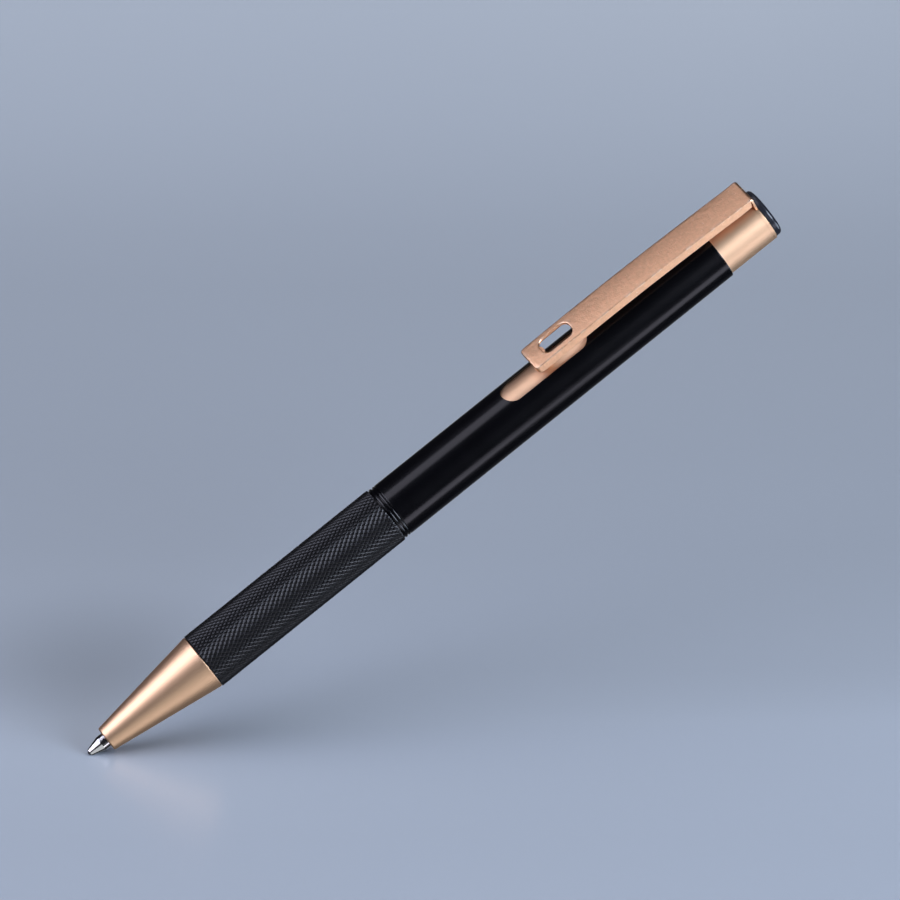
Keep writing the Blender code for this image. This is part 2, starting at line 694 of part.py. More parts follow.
def build_tip_holder(group):
    """Front part of the refill: holds the point, and its shoulder takes the spring."""
    holder = HOLDER_DIAMETER / 2
    point_rear = BALL_REACH + POINT_LENGTH
    front = point_rear - HOLDER_OVERLAP
    bore = point_radius + SEAM
    channel = HOLDER_CHANNEL / 2
    spigot = refill_bore - SEAM
    shoulder_rear = SHOULDER_FROM_BALL + SHOULDER_WIDTH
    rear = shoulder_rear + HOLDER_SPIGOT
    outline = [(spigot, rear), (spigot, shoulder_rear), (refill_radius, shoulder_rear)]
    outline += [(refill_radius, SHOULDER_FROM_BALL + EDGE_BREAK)]
    outline += [(refill_radius - EDGE_BREAK, SHOULDER_FROM_BALL), (holder, SHOULDER_FROM_BALL)]
    outline += [(holder, front + EDGE_BREAK), (holder - EDGE_BREAK, front), (bore, front)]
    outline += [(bore, point_rear + SEAM), (channel, point_rear + SEAM), (channel, rear)]
    return turned("tip_holder", outline, INNER_STEPS, group)


def build_refill_tube(group):
    """Ink tube."""
    front = SHOULDER_FROM_BALL + SHOULDER_WIDTH + SEAM
    rear = REFILL_LENGTH - PLUG_CAP_LENGTH - SEAM
    outline = [(refill_radius, rear), (refill_radius, front)]
    outline += [(refill_bore, front), (refill_bore, rear)]
    return turned("refill_tube", outline, INNER_STEPS, group)


def build_refill_plug(group):
    """Vented plug in the rear of the ink tube, which the rotor presses."""
    cap_front = REFILL_LENGTH - PLUG_CAP_LENGTH
    spigot = refill_bore - SEAM
    vent = PLUG_VENT / 2
    outline = [(refill_radius - EDGE_BREAK, REFILL_LENGTH)]
    outline += [(refill_radius, REFILL_LENGTH - EDGE_BREAK), (refill_radius, cap_front)]
    outline += [(spigot, cap_front), (spigot, cap_front - PLUG_SPIGOT)]
    outline += [(vent, cap_front - PLUG_SPIGOT), (vent, REFILL_LENGTH)]
    return turned("refill_plug", outline, INNER_STEPS, group)


def build_ink(group):
    """Column of ink behind the tip holder."""
    radius = refill_bore - SEAM
    front = SHOULDER_FROM_BALL + SHOULDER_WIDTH + HOLDER_SPIGOT + SEAT_GAP
    rear = front + INK_LENGTH
    outline = [(0.0, rear), (radius, rear), (radius, front), (0.0, front)]
    return turned("ink", outline, INNER_STEPS, group)


def build_ball(group):
    """Writing ball, with its origin at its own centre."""
    work = bmesh.new()
    bmesh.ops.create_uvsphere(work, u_segments=BALL_SEGMENTS, v_segments=BALL_RINGS,
                              radius=ball_radius)
    mesh = bpy.data.meshes.new("ball")
    work.to_mesh(mesh)
    work.free()
    ball = add_object("ball", mesh, group)
    ball.location.z = ball_radius
    return ball


def build_spring(group):
    """Return spring between the seat in the nose and the refill's shoulder."""
    half_wire = SPRING_WIRE / 2
    radius = SPRING_DIAMETER / 2 - half_wire
    low = spring_seat + SEAT_GAP + half_wire
    high = SHOULDER_FROM_BALL - SEAT_GAP - half_wire
    count = SPRING_TURNS * SPRING_POINTS_PER_TURN
    curve = bpy.data.curves.new("return_spring", "CURVE")
    curve.dimensions = "3D"
    curve.bevel_depth = half_wire
    curve.bevel_resolution = 1
    curve.use_fill_caps = True
    spline = curve.splines.new("POLY")
    spline.points.add(count)
    for index, point in enumerate(spline.points):
        turn = 2 * math.pi * index / SPRING_POINTS_PER_TURN
        height = low + (high - low) * index / count
        point.co = (radius * math.cos(turn), radius * math.sin(turn), height, 1.0)
    return add_object("return_spring", curve, group)


def add_empty(name, parent, group):
    """Empty on the pen's axis that carries one moving group."""
    empty = bpy.data.objects.new(name, None)
    empty.empty_display_size = GRIP_DIAMETER
    group.objects.link(empty)
    empty.parent = parent
    return empty


def build_pen():
    """Build every piece, dress it and hang it on the group that it moves with."""
    clear_scene()
    pen = new_collection("ballpoint_pen")
    cutters = new_collection("cutters")

    champagne = finish("champagne_metal", (0.78, 0.50, 0.32), 0.36, 1.0)
    copper = finish("blasted_copper", (0.70, 0.38, 0.24), 0.48, 1.0)
    knurled = finish("knurled_black", (0.02, 0.02, 0.022), 0.42, 0.6)
    lacquer = finish("black_lacquer", (0.008, 0.008, 0.010), 0.22, 0.0)
    button = finish("smoked_black", (0.035, 0.037, 0.045), 0.12, 0.7)
    steel = finish("bright_steel", (0.72, 0.71, 0.69), 0.18, 1.0)
    brass = finish("turned_brass", (0.72, 0.52, 0.22), 0.32, 1.0)
    carbide = finish("polished_carbide", (0.55, 0.56, 0.58), 0.08, 1.0)
    white = finish("white_nylon", (0.80, 0.80, 0.77), 0.50, 0.0)
    grey = finish("grey_nylon", (0.28, 0.29, 0.31), 0.50, 0.0)
    clear = finish("ink_tube_plastic", (0.74, 0.76, 0.78), 0.25, 0.0)
    paste = finish("blue_ink", (0.02, 0.03, 0.16), 0.30, 0.0)

    fixed = [(build_nose(pen), champagne), (build_grip(pen), knurled)]
    fixed += [(build_joint_ring(pen), lacquer), (build_connector(pen), lacquer)]
    fixed += [(build_barrel(pen, cutters), lacquer), (build_carrier(pen), steel)]
    fixed += [(build_cam_housing(pen, cutters), white), (build_spring(pen), steel)]

    pressed = [(build_sleeve(pen), champagne), (build_clip(pen, cutters), copper)]
    pressed += [(build_clip_screw(pen), steel), (build_finial(pen), button)]
    pressed += [(build_end_plug(pen), brass), (build_pusher(pen, cutters), grey)]

    refill = [(build_refill_tube(pen), clear), (build_refill_plug(pen), white)]
    refill += [(build_tip_holder(pen), brass), (build_point(pen), steel), (build_ink(pen), paste)]

    pen_axis = add_empty("pen_axis", None, pen)
    plunger_axis = add_empty("plunger_axis", pen_axis, pen)
    refill_axis = add_empty("refill_axis", pen_axis, pen)
    groups = [(pen_axis, fixed), (plunger_axis, pressed), (refill_axis, refill)]
    groups += [(refill_axis, [(build_rotor(pen, cutters), grey), (build_ball(pen), carbide)])]
    for axis, pieces in groups:
        for obj, material in pieces:
            obj.data.materials.clear()
            obj.data.materials.append(material)
            if obj.type == "MESH":
                smooth(obj)
            obj.parent = axis
    pen_axis.location = (-pen_length / 2, 0.0, GRIP_DIAMETER / 2)
    pen_axis.rotation_euler = (math.pi, -math.pi / 2, 0.0)


build_pen()
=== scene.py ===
"""Looks of a retractable ballpoint pen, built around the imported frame.

The frame has the pen lying along X with its tip towards -X and its clip on top. Shapes are worked
out in the pen's own terms, in millimetres: the station is the distance behind the front of the
ball, the side is the distance towards +Y, and the lift is the distance above the pen's axis.
The floor leans against the frame, so that the pen stands on its tip before the camera.
"""

import json
import logging
import math
from dataclasses import dataclass
from enum import Enum
from functools import cached_property
from typing import Iterable, NamedTuple, Optional, Union

import bmesh
import bpy
import numpy as np
from mathutils import Matrix, Vector


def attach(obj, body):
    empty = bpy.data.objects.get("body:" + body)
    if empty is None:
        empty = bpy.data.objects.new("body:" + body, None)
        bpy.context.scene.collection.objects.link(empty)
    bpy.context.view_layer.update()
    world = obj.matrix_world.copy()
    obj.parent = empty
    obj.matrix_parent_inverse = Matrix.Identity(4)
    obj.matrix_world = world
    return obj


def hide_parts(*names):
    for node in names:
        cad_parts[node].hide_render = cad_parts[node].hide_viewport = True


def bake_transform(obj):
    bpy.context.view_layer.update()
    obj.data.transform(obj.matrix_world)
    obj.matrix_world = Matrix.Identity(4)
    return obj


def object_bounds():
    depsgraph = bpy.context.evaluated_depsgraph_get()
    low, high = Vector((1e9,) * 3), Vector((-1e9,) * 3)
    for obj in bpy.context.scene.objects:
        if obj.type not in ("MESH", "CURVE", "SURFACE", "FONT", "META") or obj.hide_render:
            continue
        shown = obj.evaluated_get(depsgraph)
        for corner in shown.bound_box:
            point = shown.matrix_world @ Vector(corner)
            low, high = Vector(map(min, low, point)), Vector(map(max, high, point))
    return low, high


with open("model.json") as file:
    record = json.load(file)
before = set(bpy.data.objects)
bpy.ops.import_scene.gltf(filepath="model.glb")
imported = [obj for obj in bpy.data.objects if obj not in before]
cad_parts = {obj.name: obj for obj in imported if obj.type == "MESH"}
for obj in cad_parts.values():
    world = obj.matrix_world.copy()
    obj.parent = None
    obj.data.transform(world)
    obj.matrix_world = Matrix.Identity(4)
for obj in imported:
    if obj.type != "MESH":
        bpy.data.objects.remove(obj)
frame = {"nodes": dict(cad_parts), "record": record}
CAD_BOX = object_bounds()

# Metres in a millimetre, radians in a turn, and the step in millimetres that points are welded on
MM = 0.001
TURN = 2.0 * math.pi
WELD = 1e-5

LOG = logging.getLogger("pen")


class Body(str, Enum):
    """Bodies of the frame that pieces ride on."""

    BODY = "body"
    PLUNGER = "plunger"
    REFILL = "refill"


class Slot(str, Enum):
    """Material slots of the record."""

    CHAMPAGNE = "champagne_metal"
    COPPER = "blasted_copper"
    KNURLED = "knurled_black"
    LACQUER = "black_lacquer"
    SMOKED = "smoked_black"
    STEEL = "bright_steel"
    BRASS = "turned_brass"
    CARBIDE = "polished_carbide"
    WHITE_NYLON = "white_nylon"
    GREY_NYLON = "grey_nylon"
    INK_TUBE = "ink_tube_plastic"
    INK = "blue_ink"


# Shader expressions


class Socket:
    """Output of a shader node that can stand in Python expressions."""

    def __init__(self, nodes: "Nodes", link: bpy.types.NodeSocket) -> None:
        """Keep the node tree and the socket."""
        self.nodes = nodes
        self.link = link

    def math(self, operation: str, *others: "Value") -> "Socket":
        """Math node on this value and the others."""
        values = dict(enumerate((self, *others)))
        return self.nodes.node("ShaderNodeMath", {"operation": operation}, values)

    def reflected(self, operation: str, other: "Value") -> "Socket":
        """Math node with the other value first."""
        return self.nodes.node("ShaderNodeMath", {"operation": operation}, {0: other, 1: self})

    def __add__(self, other: "Value") -> "Socket":
        """Sum."""
        return self.math("ADD", other)

    def __radd__(self, other: "Value") -> "Socket":
        """Sum with the number first."""
        return self.reflected("ADD", other)

    def __sub__(self, other: "Value") -> "Socket":
        """Difference."""
        return self.math("SUBTRACT", other)

    def __rsub__(self, other: "Value") -> "Socket":
        """Difference with the number first."""
        return self.reflected("SUBTRACT", other)

    def __mul__(self, other: "Value") -> "Socket":
        """Product."""
        return self.math("MULTIPLY", other)

    def __rmul__(self, other: "Value") -> "Socket":
        """Product with the number first."""
        return self.reflected("MULTIPLY", other)

    def swing(self, amount: float) -> "Socket":
        """A value from 0 to 1 as a change of up to half the amount either way."""
        return (self - 0.5) * amount

    def ramp(self, low: float, high: float) -> "Socket":
        """Rise smoothly from 0 at low to 1 at high."""
        settings = {"interpolation_type": "SMOOTHSTEP"}
        return self.nodes.node("ShaderNodeMapRange", settings, {0: self, 1: low, 2: high})


Value = Union[Socket, float]


class Nodes:
    """Node tree that expressions add to."""

    def __init__(self, tree: bpy.types.NodeTree) -> None:
        """Keep the tree."""
        self.tree = tree

    def feed(self, socket: bpy.types.NodeSocket, value: object) -> None:
        """Link a socket, or set its own value.

        Args:
            socket: The input that takes the value.
            value: A Socket to link, or a number or tuple to set.
        """
        if isinstance(value, Socket):
            self.tree.links.new(value.link, socket)
        else:
            socket.default_value = value

    def node(
        self,
        kind: str,
        settings: Optional[dict] = None,
        values: Optional[dict] = None,
        output: Union[int, str] = 0,
    ) -> Socket:
        """Add a node.

        Args:
            kind: The node's type.
            settings: Its own settings, and a ramp's stops as (place, colour) pairs.
            values: What its inputs take, by name or number.
            output: Which output the expression goes on with.

        Returns:
            That output.
        """
        made = self.tree.nodes.new(kind)
        for name, setting in (settings or {}).items():
            if name == "stops":
                elements = made.color_ramp.elements
                while len(elements) < len(setting):
                    elements.new(0.5)
                for element, (place, colour) in zip(elements, setting):
                    element.position = place
                    element.color = (*colour, 1.0)
            else:
                setattr(made, name, setting)
        for name, value in (values or {}).items():
            self.feed(made.inputs[name], value)
        return Socket(self, made.outputs[output])

    def vector(self, operation: str, values: dict, output: str) -> Socket:
        """Vector Math node on values by input, going on with the output called Vector or Value."""
        return self.node("ShaderNodeVectorMath", {"operation": operation}, values, output)

    def blend(self, factor: Value, first: object, second: object) -> Socket:
        """Colour between two colours, which are inputs 6 and 7 and output 2 of the Mix node."""
        values = {0: factor, 6: first, 7: second}
        return self.node("ShaderNodeMix", {"data_type": "RGBA"}, values, output=2)


class Shader(Nodes):
    """Material whose nodes are added by expressions."""

    def __init__(self, name: str) -> None:
        """Start a material with one Principled shader.

        Args:
            name: Name of the material.
        """
        self.material = bpy.data.materials.new(name)
        self.material.use_nodes = True
        super().__init__(self.material.node_tree)
        self.surface = self.tree.nodes["Principled BSDF"]
        self.output = self.tree.nodes["Material Output"]

    def place(self, stretch: tuple) -> Socket:
        """Object coordinates in millimetres, stretched along the axes.

        Args:
            stretch: How much closer together a pattern gets along each axis.

        Returns:
            The coordinates.
        """
        spot = self.node("ShaderNodeTexCoord", output="Object")
        scale = tuple(part / MM for part in stretch)
        return self.node("ShaderNodeMapping", values={"Vector": spot, "Scale": scale})

    def noise(self, scale: float, detail: float = 2.0, stretch: tuple = (1.0, 1.0, 1.0)) -> Socket:
        """Noise from 0 to 1 with scale waves to a millimetre, as place() stretches it."""
        values = {"Vector": self.place(stretch), "Scale": scale, "Detail": detail}
        return self.node("ShaderNodeTexNoise", values=values)

    def bump(self, height: Value, depth: float) -> Socket:
        """Normal of a surface raised by a height from 0 to 1, times a depth in millimetres."""
        values = {"Height": height, "Distance": depth * MM, "Strength": 1.0}
        return self.node("ShaderNodeBump", values=values)

    def attribute(self, name: str) -> Socket:
        """Value that a piece's mesh carries at its points."""
        return self.node("ShaderNodeAttribute", {"attribute_name": name}, output="Fac")

    def dress(self, **values: object) -> bpy.types.Material:
        """Feed the Principled shader.

        Args:
            **values: What its inputs take, by name in small letters, with underscores for blanks.

        Returns:
            The material.
        """
        for name, value in values.items():
            label = name.replace("_", " ").title().replace("Ior", "IOR")
            self.feed(self.surface.inputs[label], value)
        return self.material


def shade(colour: tuple, factor: float) -> tuple:
    """Colour times a factor, with full alpha."""
    return (*(min(1.0, part * factor) for part in colour[:3]), 1.0)


# Finishes


@dataclass(frozen=True)
class SatinMetal:
    """Fine satin metal, with a faint cloud in its colour and turning marks round the axis."""

    colour: tuple
    roughness: float
    cloud: float = 0.04
    grain: float = 0.0015
    turning: float = 0.05
    grain_gloss: float = 0.08
    marks_stretch: tuple = (14.0, 0.02, 0.02)

    def make(self, shader: Shader) -> bpy.types.Material:
        """Build the material.

        Args:
            shader: The material's shader, with nothing on it.

        Returns:
            The material.
        """
        cloud = shader.noise(scale=0.35, detail=3.0)
        marks = shader.noise(scale=1.0, stretch=self.marks_stretch)
        grain = shader.noise(scale=9.0)
        low = shade(self.colour, 1.0 - self.cloud)
        high = shade(self.colour, 1.0 + self.cloud)
        roughness = marks.swing(self.turning) + grain.swing(self.grain_gloss) + self.roughness
        return shader.dress(
            base_color=shader.blend(cloud, low, high),
            metallic=1.0,
            roughness=roughness,
            normal=shader.bump(grain, self.grain),
        )


@dataclass(frozen=True)
class BlastedMetal:
    """Blasted metal: orange-peel mottle, fine grit, and brighter worn edges with small nicks."""

    colour: tuple
    worn: tuple
    roughness: float = 0.42
    dark: float = 0.82
    light: float = 1.14
    rub: float = 0.7
    mottle_height: float = 0.7
    grit_height: float = 0.3
    nick_height: float = 0.5
    nick_share: float = 0.5
    nick_light: float = 1.1
    mottle_gloss: float = 0.12
    edge_gloss: float = 0.06
    relief: float = 0.09

    def make(self, shader: Shader) -> bpy.types.Material:
        """Build the material.

        Args:
            shader: The material's shader, with nothing on it.

        Returns:
            The material.
        """
        mottle = shader.noise(scale=1.7, detail=3.0)
        grit = shader.noise(scale=4.5)
        edge = shader.attribute("edge")
        patches = shader.noise(scale=0.8, detail=3.0).ramp(low=0.42, high=0.62)
        nicks = shader.noise(scale=3.4, detail=1.0).ramp(low=0.70, high=0.76)
        lightening = edge * patches * self.rub
        body = shader.blend(mottle, shade(self.colour, self.dark), shade(self.colour, self.light))
        colour = shader.blend(lightening, body, (*self.worn, 1.0))
        height = mottle * self.mottle_height + grit * self.grit_height - nicks * self.nick_height
        nicked = nicks * self.nick_share
        return shader.dress(
            base_color=shader.blend(nicked, colour, shade(self.worn, self.nick_light)),
            metallic=1.0,
            roughness=mottle.swing(self.mottle_gloss) - edge * self.edge_gloss + self.roughness,
            normal=shader.bump(height, self.relief),
        )


@dataclass(frozen=True)
class Lacquer:
    """Black lacquer: soft gloss, with a trace of orange peel and of dust in the gloss."""

    colour: tuple
    roughness: float
    peel: float = 0.0012
    dark: float = 0.8
    light: float = 1.3
    haze_gloss: float = 0.06

    def make(self, shader: Shader) -> bpy.types.Material:
        """Build the material.

        Args:
            shader: The material's shader, with nothing on it.

        Returns:
            The material.
        """
        peel = shader.noise(scale=0.9)
        haze = shader.noise(scale=0.25, detail=3.0)
        colour = shader.blend(haze, shade(self.colour, self.dark), shade(self.colour, self.light))
        return shader.dress(
            base_color=colour,
            roughness=haze.swing(self.haze_gloss) + self.roughness,
            normal=shader.bump(peel, self.peel),
        )


@dataclass(frozen=True)
class KnurledBlack:
    """Black coated metal: crests lighter and smoother, grooves darker; the colour is painted
    highlight on the crests and painted shade in the grooves, varied by wear.
    """

    crest: tuple
    groove: tuple
    roughness: float = 0.25
    polish: float = 0.02
    grit_gloss: float = 0.06
    sheen: float = 0.3
    grain: float = 0.002
    least_rub: float = 0.55

    def make(self, shader: Shader) -> bpy.types.Material:
        """Build the material.

        Args:
            shader: The material's shader, with nothing on it.

        Returns:
            The material.
        """
        height = shader.attribute("crest")
        grit = shader.noise(scale=11.0)
        wear = shader.noise(scale=0.3, detail=3.0).ramp(low=0.3, high=0.75)
        # Painted highlight and painted shade: the colour climbs from the dark groove colour to the
        # lighter crest colour with crest height, and a wear noise scales the rise; the same share
        # makes the crests smoother.
        worn = height.ramp(low=0.45, high=1.0)
        lightening = worn * (self.least_rub + wear * (1.0 - self.least_rub))
        return shader.dress(
            base_color=shader.blend(lightening, (*self.groove, 1.0), (*self.crest, 1.0)),
            roughness=self.roughness - lightening * self.polish + grit.swing(self.grit_gloss),
            specular_ior_level=self.sheen,
            normal=shader.bump(grit, self.grain),
        )


@dataclass(frozen=True)
class Moulded:
    """Moulded or extruded plastic with a faint flow in its colour and a fine skin."""

    colour: tuple
    roughness: float
    grain: float = 0.003
    dark: float = 0.9
    light: float = 1.06
    skin_gloss: float = 0.1
    flow_stretch: tuple = (0.3, 1.0, 1.0)

    def make(self, shader: Shader) -> bpy.types.Material:
        """Build the material.

        Args:
            shader: The material's shader, with nothing on it.

        Returns:
            The material.
        """
        flow = shader.noise(scale=0.5, detail=3.0, stretch=self.flow_stretch)
        skin = shader.noise(scale=6.0)
        colour = shader.blend(flow, shade(self.colour, self.dark), shade(self.colour, self.light))
        return shader.dress(
            base_color=colour,
            roughness=skin.swing(self.skin_gloss) + self.roughness,
            normal=shader.bump(skin, self.grain),
        )


Finish = Union[SatinMetal, BlastedMetal, Lacquer, KnurledBlack, Moulded]

FINISHES: dict[Slot, Finish] = {
    Slot.CHAMPAGNE: SatinMetal((0.87, 0.56, 0.345), 0.45),
    Slot.COPPER: BlastedMetal((0.86, 0.50, 0.29), (0.95, 0.70, 0.50)),
    # Knurl colours: the crest colour is a painted highlight, the groove colour painted shade.
    Slot.KNURLED: KnurledBlack((0.009, 0.009, 0.0105), (0.002, 0.002, 0.0024)),
    Slot.LACQUER: Lacquer((0.0009, 0.0009, 0.0014), 0.2),
    Slot.SMOKED: Lacquer((0.012, 0.013, 0.018), 0.24),
    Slot.STEEL: SatinMetal((0.74, 0.72, 0.69), 0.16, cloud=0.03, grain=0.0004, turning=0.06),
    Slot.BRASS: SatinMetal((0.78, 0.58, 0.27), 0.28, cloud=0.05, grain=0.001, turning=0.12),
    Slot.CARBIDE: SatinMetal((0.6, 0.61, 0.63), 0.08, cloud=0.02, grain=0.0002, turning=0.01),
    Slot.WHITE_NYLON: Moulded((0.78, 0.78, 0.75), 0.5),
    Slot.GREY_NYLON: Moulded((0.27, 0.28, 0.30), 0.5),
    Slot.INK_TUBE: Moulded((0.72, 0.74, 0.76), 0.24, grain=0.001),
    Slot.INK: Moulded((0.018, 0.028, 0.15), 0.3),
}


class Wardrobe:
    """Materials of all slots, each made once."""

    def __init__(self) -> None:
        """Make every finish, under its slot's name."""
        self.materials = {slot: FINISHES[slot].make(Shader(slot.value)) for slot in FINISHES}

    def dress(self, piece: bpy.types.Object, slot: Slot) -> None:
        """Give a piece its slot's material."""
        piece.data.materials.clear()
        piece.data.materials.append(self.materials[slot])

    def dress_frame(self) -> None:
        """Give every node of the frame the material of its slot in the record."""
        for part in frame["record"]["subparts"]:
            self.dress(frame["nodes"][part["node"]], Slot(part["material_slot"]))


# Surfaces


@dataclass(frozen=True)
class Pen:
    """Sizes that several pieces share, in millimetres, and facets round the pen's axis."""

    axis_height: float = 5.0
    facets: int = 192
    inner_facets: int = 96


def pen_point(station: float) -> tuple:
    """Point of the pen's axis in metres in the frame."""
    return (CAD_BOX[0][0] + station * MM, 0.0, Pen.axis_height * MM)


def arc(
    centre: tuple,
    radii: Union[float, tuple],
    start: float,
    end: float,
    steps: int,
) -> np.ndarray:
    """Round or elliptic arc: its centre plus the radii times cosine and sine of even angles.

    Args:
        centre: Centre as (station, radius).
        radii: Radius of the arc, or its half axes along the station and the radius.
        start: First angle in degrees, 0 along the station.
        end: Last angle in degrees.
        steps: Number of chords.

    Returns:
        Points, one to a row.
    """
    angles = np.radians(np.linspace(start, end, steps + 1))
    return np.array(centre) + np.array(radii) * np.stack([np.cos(angles), np.sin(angles)], 1)


def guarded(points: Iterable, longest: float = 4.0, guard: float = 0.03) -> np.ndarray:
    """Outline with points added to its long stretches.

    Each stretch longer than four guards gets a point a guard's length from both ends, which keeps
    the shading of a flat from bending at its edges, and even points between, no further apart
    than the longest.

    Args:
        points: Points of an open outline.
        longest: Greatest distance between two points.
        guard: Distance of the guarding points from an end.

    Returns:
        The fuller outline.
    """
    corners = np.asarray(list(points), float)
    rows = [corners[:1]]
    for first, last in zip(corners[:-1], corners[1:]):
        length = float(np.linalg.norm(last - first))
        shares = np.array([1.0])
        if length > 4.0 * guard:
            count = max(1, math.ceil((length - 2.0 * guard) / longest))
            inner = np.linspace(guard, length - guard, count + 1) / length
            shares = np.append(inner, 1.0)
        rows.append(first + shares[:, None] * (last - first))
    return np.concatenate(rows)


def smooth_step(share: np.ndarray) -> np.ndarray:
    """Rise from 0 to 1 with level ends: three squares less two cubes of the share."""
    held = np.clip(share, 0.0, 1.0)
    return held * held * (3.0 - 2.0 * held)


def ridge(count: np.ndarray) -> np.ndarray:
    """Triangle wave: 0 at whole counts and 1 halfway between them."""
    return 1.0 - np.abs(2.0 * (count % 1.0) - 1.0)


def along(points: np.ndarray, shares: np.ndarray) -> np.ndarray:
    """Points at shares of the length of an open line.

    Args:
        points: The line's points.
        shares: Shares of its length, from 0 to 1.

    Returns:
        One point for each share, linear between the line's own.
    """
    steps = np.linalg.norm(np.diff(points, axis=0), axis=1)
    travelled = np.concatenate([[0.0], np.cumsum(steps)])
    return np.stack([np.interp(shares * travelled[-1], travelled, col) for col in points.T], 1)


class Skin:
    """Grids of points that are welded into one closed mesh."""

    # Corners of a cell's faces, after the cell's value in the split
    CUTS = (
        (0, (0, 1, 2, 3)),
        (1, (0, 1, 2, 2)),
        (1, (0, 2, 3, 3)),
        (2, (0, 1, 3, 3)),
        (2, (1, 2, 3, 3)),
    )

    def __init__(self) -> None:
        """Start with nothing."""
        self.points: list[np.ndarray] = []
        self.marks: list[np.ndarray] = []
        self.faces: list[np.ndarray] = []
        self.count = 0

    def grid(
        self,
        points: np.ndarray,
        around: bool = False,
        closed: bool = False,
        keep: Optional[np.ndarray] = None,
        split: Optional[np.ndarray] = None,
        marks: Optional[np.ndarray] = None,
    ) -> "Skin":
        """Add a grid of points and the faces between them.

        Args:
            points: Array of rows, columns and (station, side, lift).
            around: Whether the last column joins the first.
            closed: Whether the last row joins the first.
            keep: Which cells have a face, all if not given.
            split: For each cell 0 for one face, 1 for two along the main diagonal of rows and
                columns, 2 for two along the other.
            marks: Value of each point for the material.

        Returns:
            The skin itself.
        """
        rows, columns = points.shape[:2]
        index = self.count + np.arange(rows * columns).reshape(rows, columns)
        down = index if not closed else np.concatenate([index, index[:1]])
        full = down if not around else np.concatenate([down, down[:, :1]], 1)
        cells = np.stack([full[:-1, :-1], full[:-1, 1:], full[1:, 1:], full[1:, :-1]], -1)
        used = np.ones(cells.shape[:2], bool) if keep is None else keep
        cut = np.zeros(cells.shape[:2], int) if split is None else split
        for way, corners in self.CUTS:
            self.faces.append(cells[used & (cut == way)][:, corners])
        values = np.zeros((rows, columns)) if marks is None else marks
        self.points.append(points.reshape(-1, 3))
        self.marks.append(np.broadcast_to(values, (rows, columns)).reshape(-1))
        self.count += rows * columns
        return self

    def turned(self, outline: np.ndarray, steps: int, ring: bool = True) -> "Skin":
        """Turn an outline of (station, radius) points round the pen's axis.

        The side is the radius times the sine of the angle and the lift the radius times its
        cosine.

        Args:
            outline: Points of the outline.
            steps: Facets round the axis.
            ring: Whether the last point joins the first; if not, both lie on the axis.

        Returns:
            The skin itself.
        """
        angles = TURN * np.arange(steps) / steps
        station = np.repeat(outline[:, :1], steps, 1)
        side = outline[:, 1:] * np.sin(angles)
        lift = outline[:, 1:] * np.cos(angles)
        return self.grid(np.stack([station, side, lift], -1), around=True, closed=ring)

    def mesh(self, name: str, mark: str, crease: float) -> bpy.types.Mesh:
        """Weld the grids and turn the faces outwards.

        Points that share a place become one, and faces keep only their corners that differ.

        Args:
            name: Name of the mesh.
            mark: Name of the attribute that holds the marks, or nothing.
            crease: Angle in degrees from which an edge is sharp.

        Returns:
            The mesh, in metres in the frame's place.
        """
        spots = np.concatenate(self.points)
        keys = np.round(spots / WELD).astype(np.int64)
        _, first, place = np.unique(keys, axis=0, return_index=True, return_inverse=True)
        place = place.reshape(-1)
        corners = place[np.concatenate(self.faces)]
        differs = corners != np.roll(corners, -1, axis=1)
        whole = differs.sum(1) >= 3
        corners, differs = corners[whole], differs[whole]
        sizes = differs.sum(1)
        mesh = bpy.data.meshes.new(name)
        mesh.vertices.add(len(first))
        metres = np.array(pen_point(0.0)) + spots[first] * MM
        mesh.vertices.foreach_set("co", metres.astype(np.float32).reshape(-1))
        mesh.loops.add(int(sizes.sum()))
        mesh.loops.foreach_set("vertex_index", corners[differs].astype(np.int32))
        mesh.polygons.add(len(sizes))
        starts = np.concatenate([[0], np.cumsum(sizes)[:-1]])
        mesh.polygons.foreach_set("loop_start", starts.astype(np.int32))
        mesh.update(calc_edges=True)
        mesh.validate()
        work = bmesh.new()
        work.from_mesh(mesh)
        bmesh.ops.recalc_face_normals(work, faces=work.faces)
        work.to_mesh(mesh)
        work.free()
        if mark:
            values = np.zeros(len(first))
            np.maximum.at(values, place, np.concatenate(self.marks))
            layer = mesh.attributes.new(mark, "FLOAT", "POINT")
            layer.data.foreach_set("value", values.astype(np.float32))
        mesh.shade_smooth()
        mesh.set_sharp_from_angle(angle=math.radians(crease))
        return mesh


def turned_ring(outline: list, facets: int = Pen.facets, guard: float = 0.03) -> Skin:
    """Turn an outline that stays off the pen's axis round it.

    Args:
        outline: Points of (station, radius), the last of which joins the first.
        facets: Facets round the axis.
        guard: Distance of the guarding points from the ends of long stretches.

    Returns:
        The surface, with a hole through it along the axis.
    """
    return Skin().turned(guarded([*outline, outline[0]], guard=guard)[:-1], facets)


@dataclass
class Piece:
    """One visible piece and what it stands for in the frame.

    A piece with a far body is not hung on any body: it keeps its place in the frame, and its
    far body and the two stations of its stretch are kept but not used.
    """

    name: str
    node: str
    body: Body
    slot: Slot
    mark: str = ""
    crease: float = 32.0
    far_body: Optional[Body] = None
    stretch: tuple = ()

    def place(self, skin: Skin, wardrobe: Wardrobe) -> None:
        """Make the object, dress it and hang it on its body, unless it has a far body.

        Args:
            skin: The piece's surface.
            wardrobe: The materials.
        """
        mesh = skin.mesh(self.name, self.mark, self.crease)
        piece = bpy.data.objects.new(self.name, mesh)
        bpy.context.scene.collection.objects.link(piece)
        wardrobe.dress(piece, self.slot)
        if self.far_body:
            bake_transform(piece)
        else:
            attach(piece, self.body.value)
        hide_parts(self.node)
        LOG.info("%s: %d faces, rides on %s", self.name, len(mesh.polygons), self.body.value)


# Front end


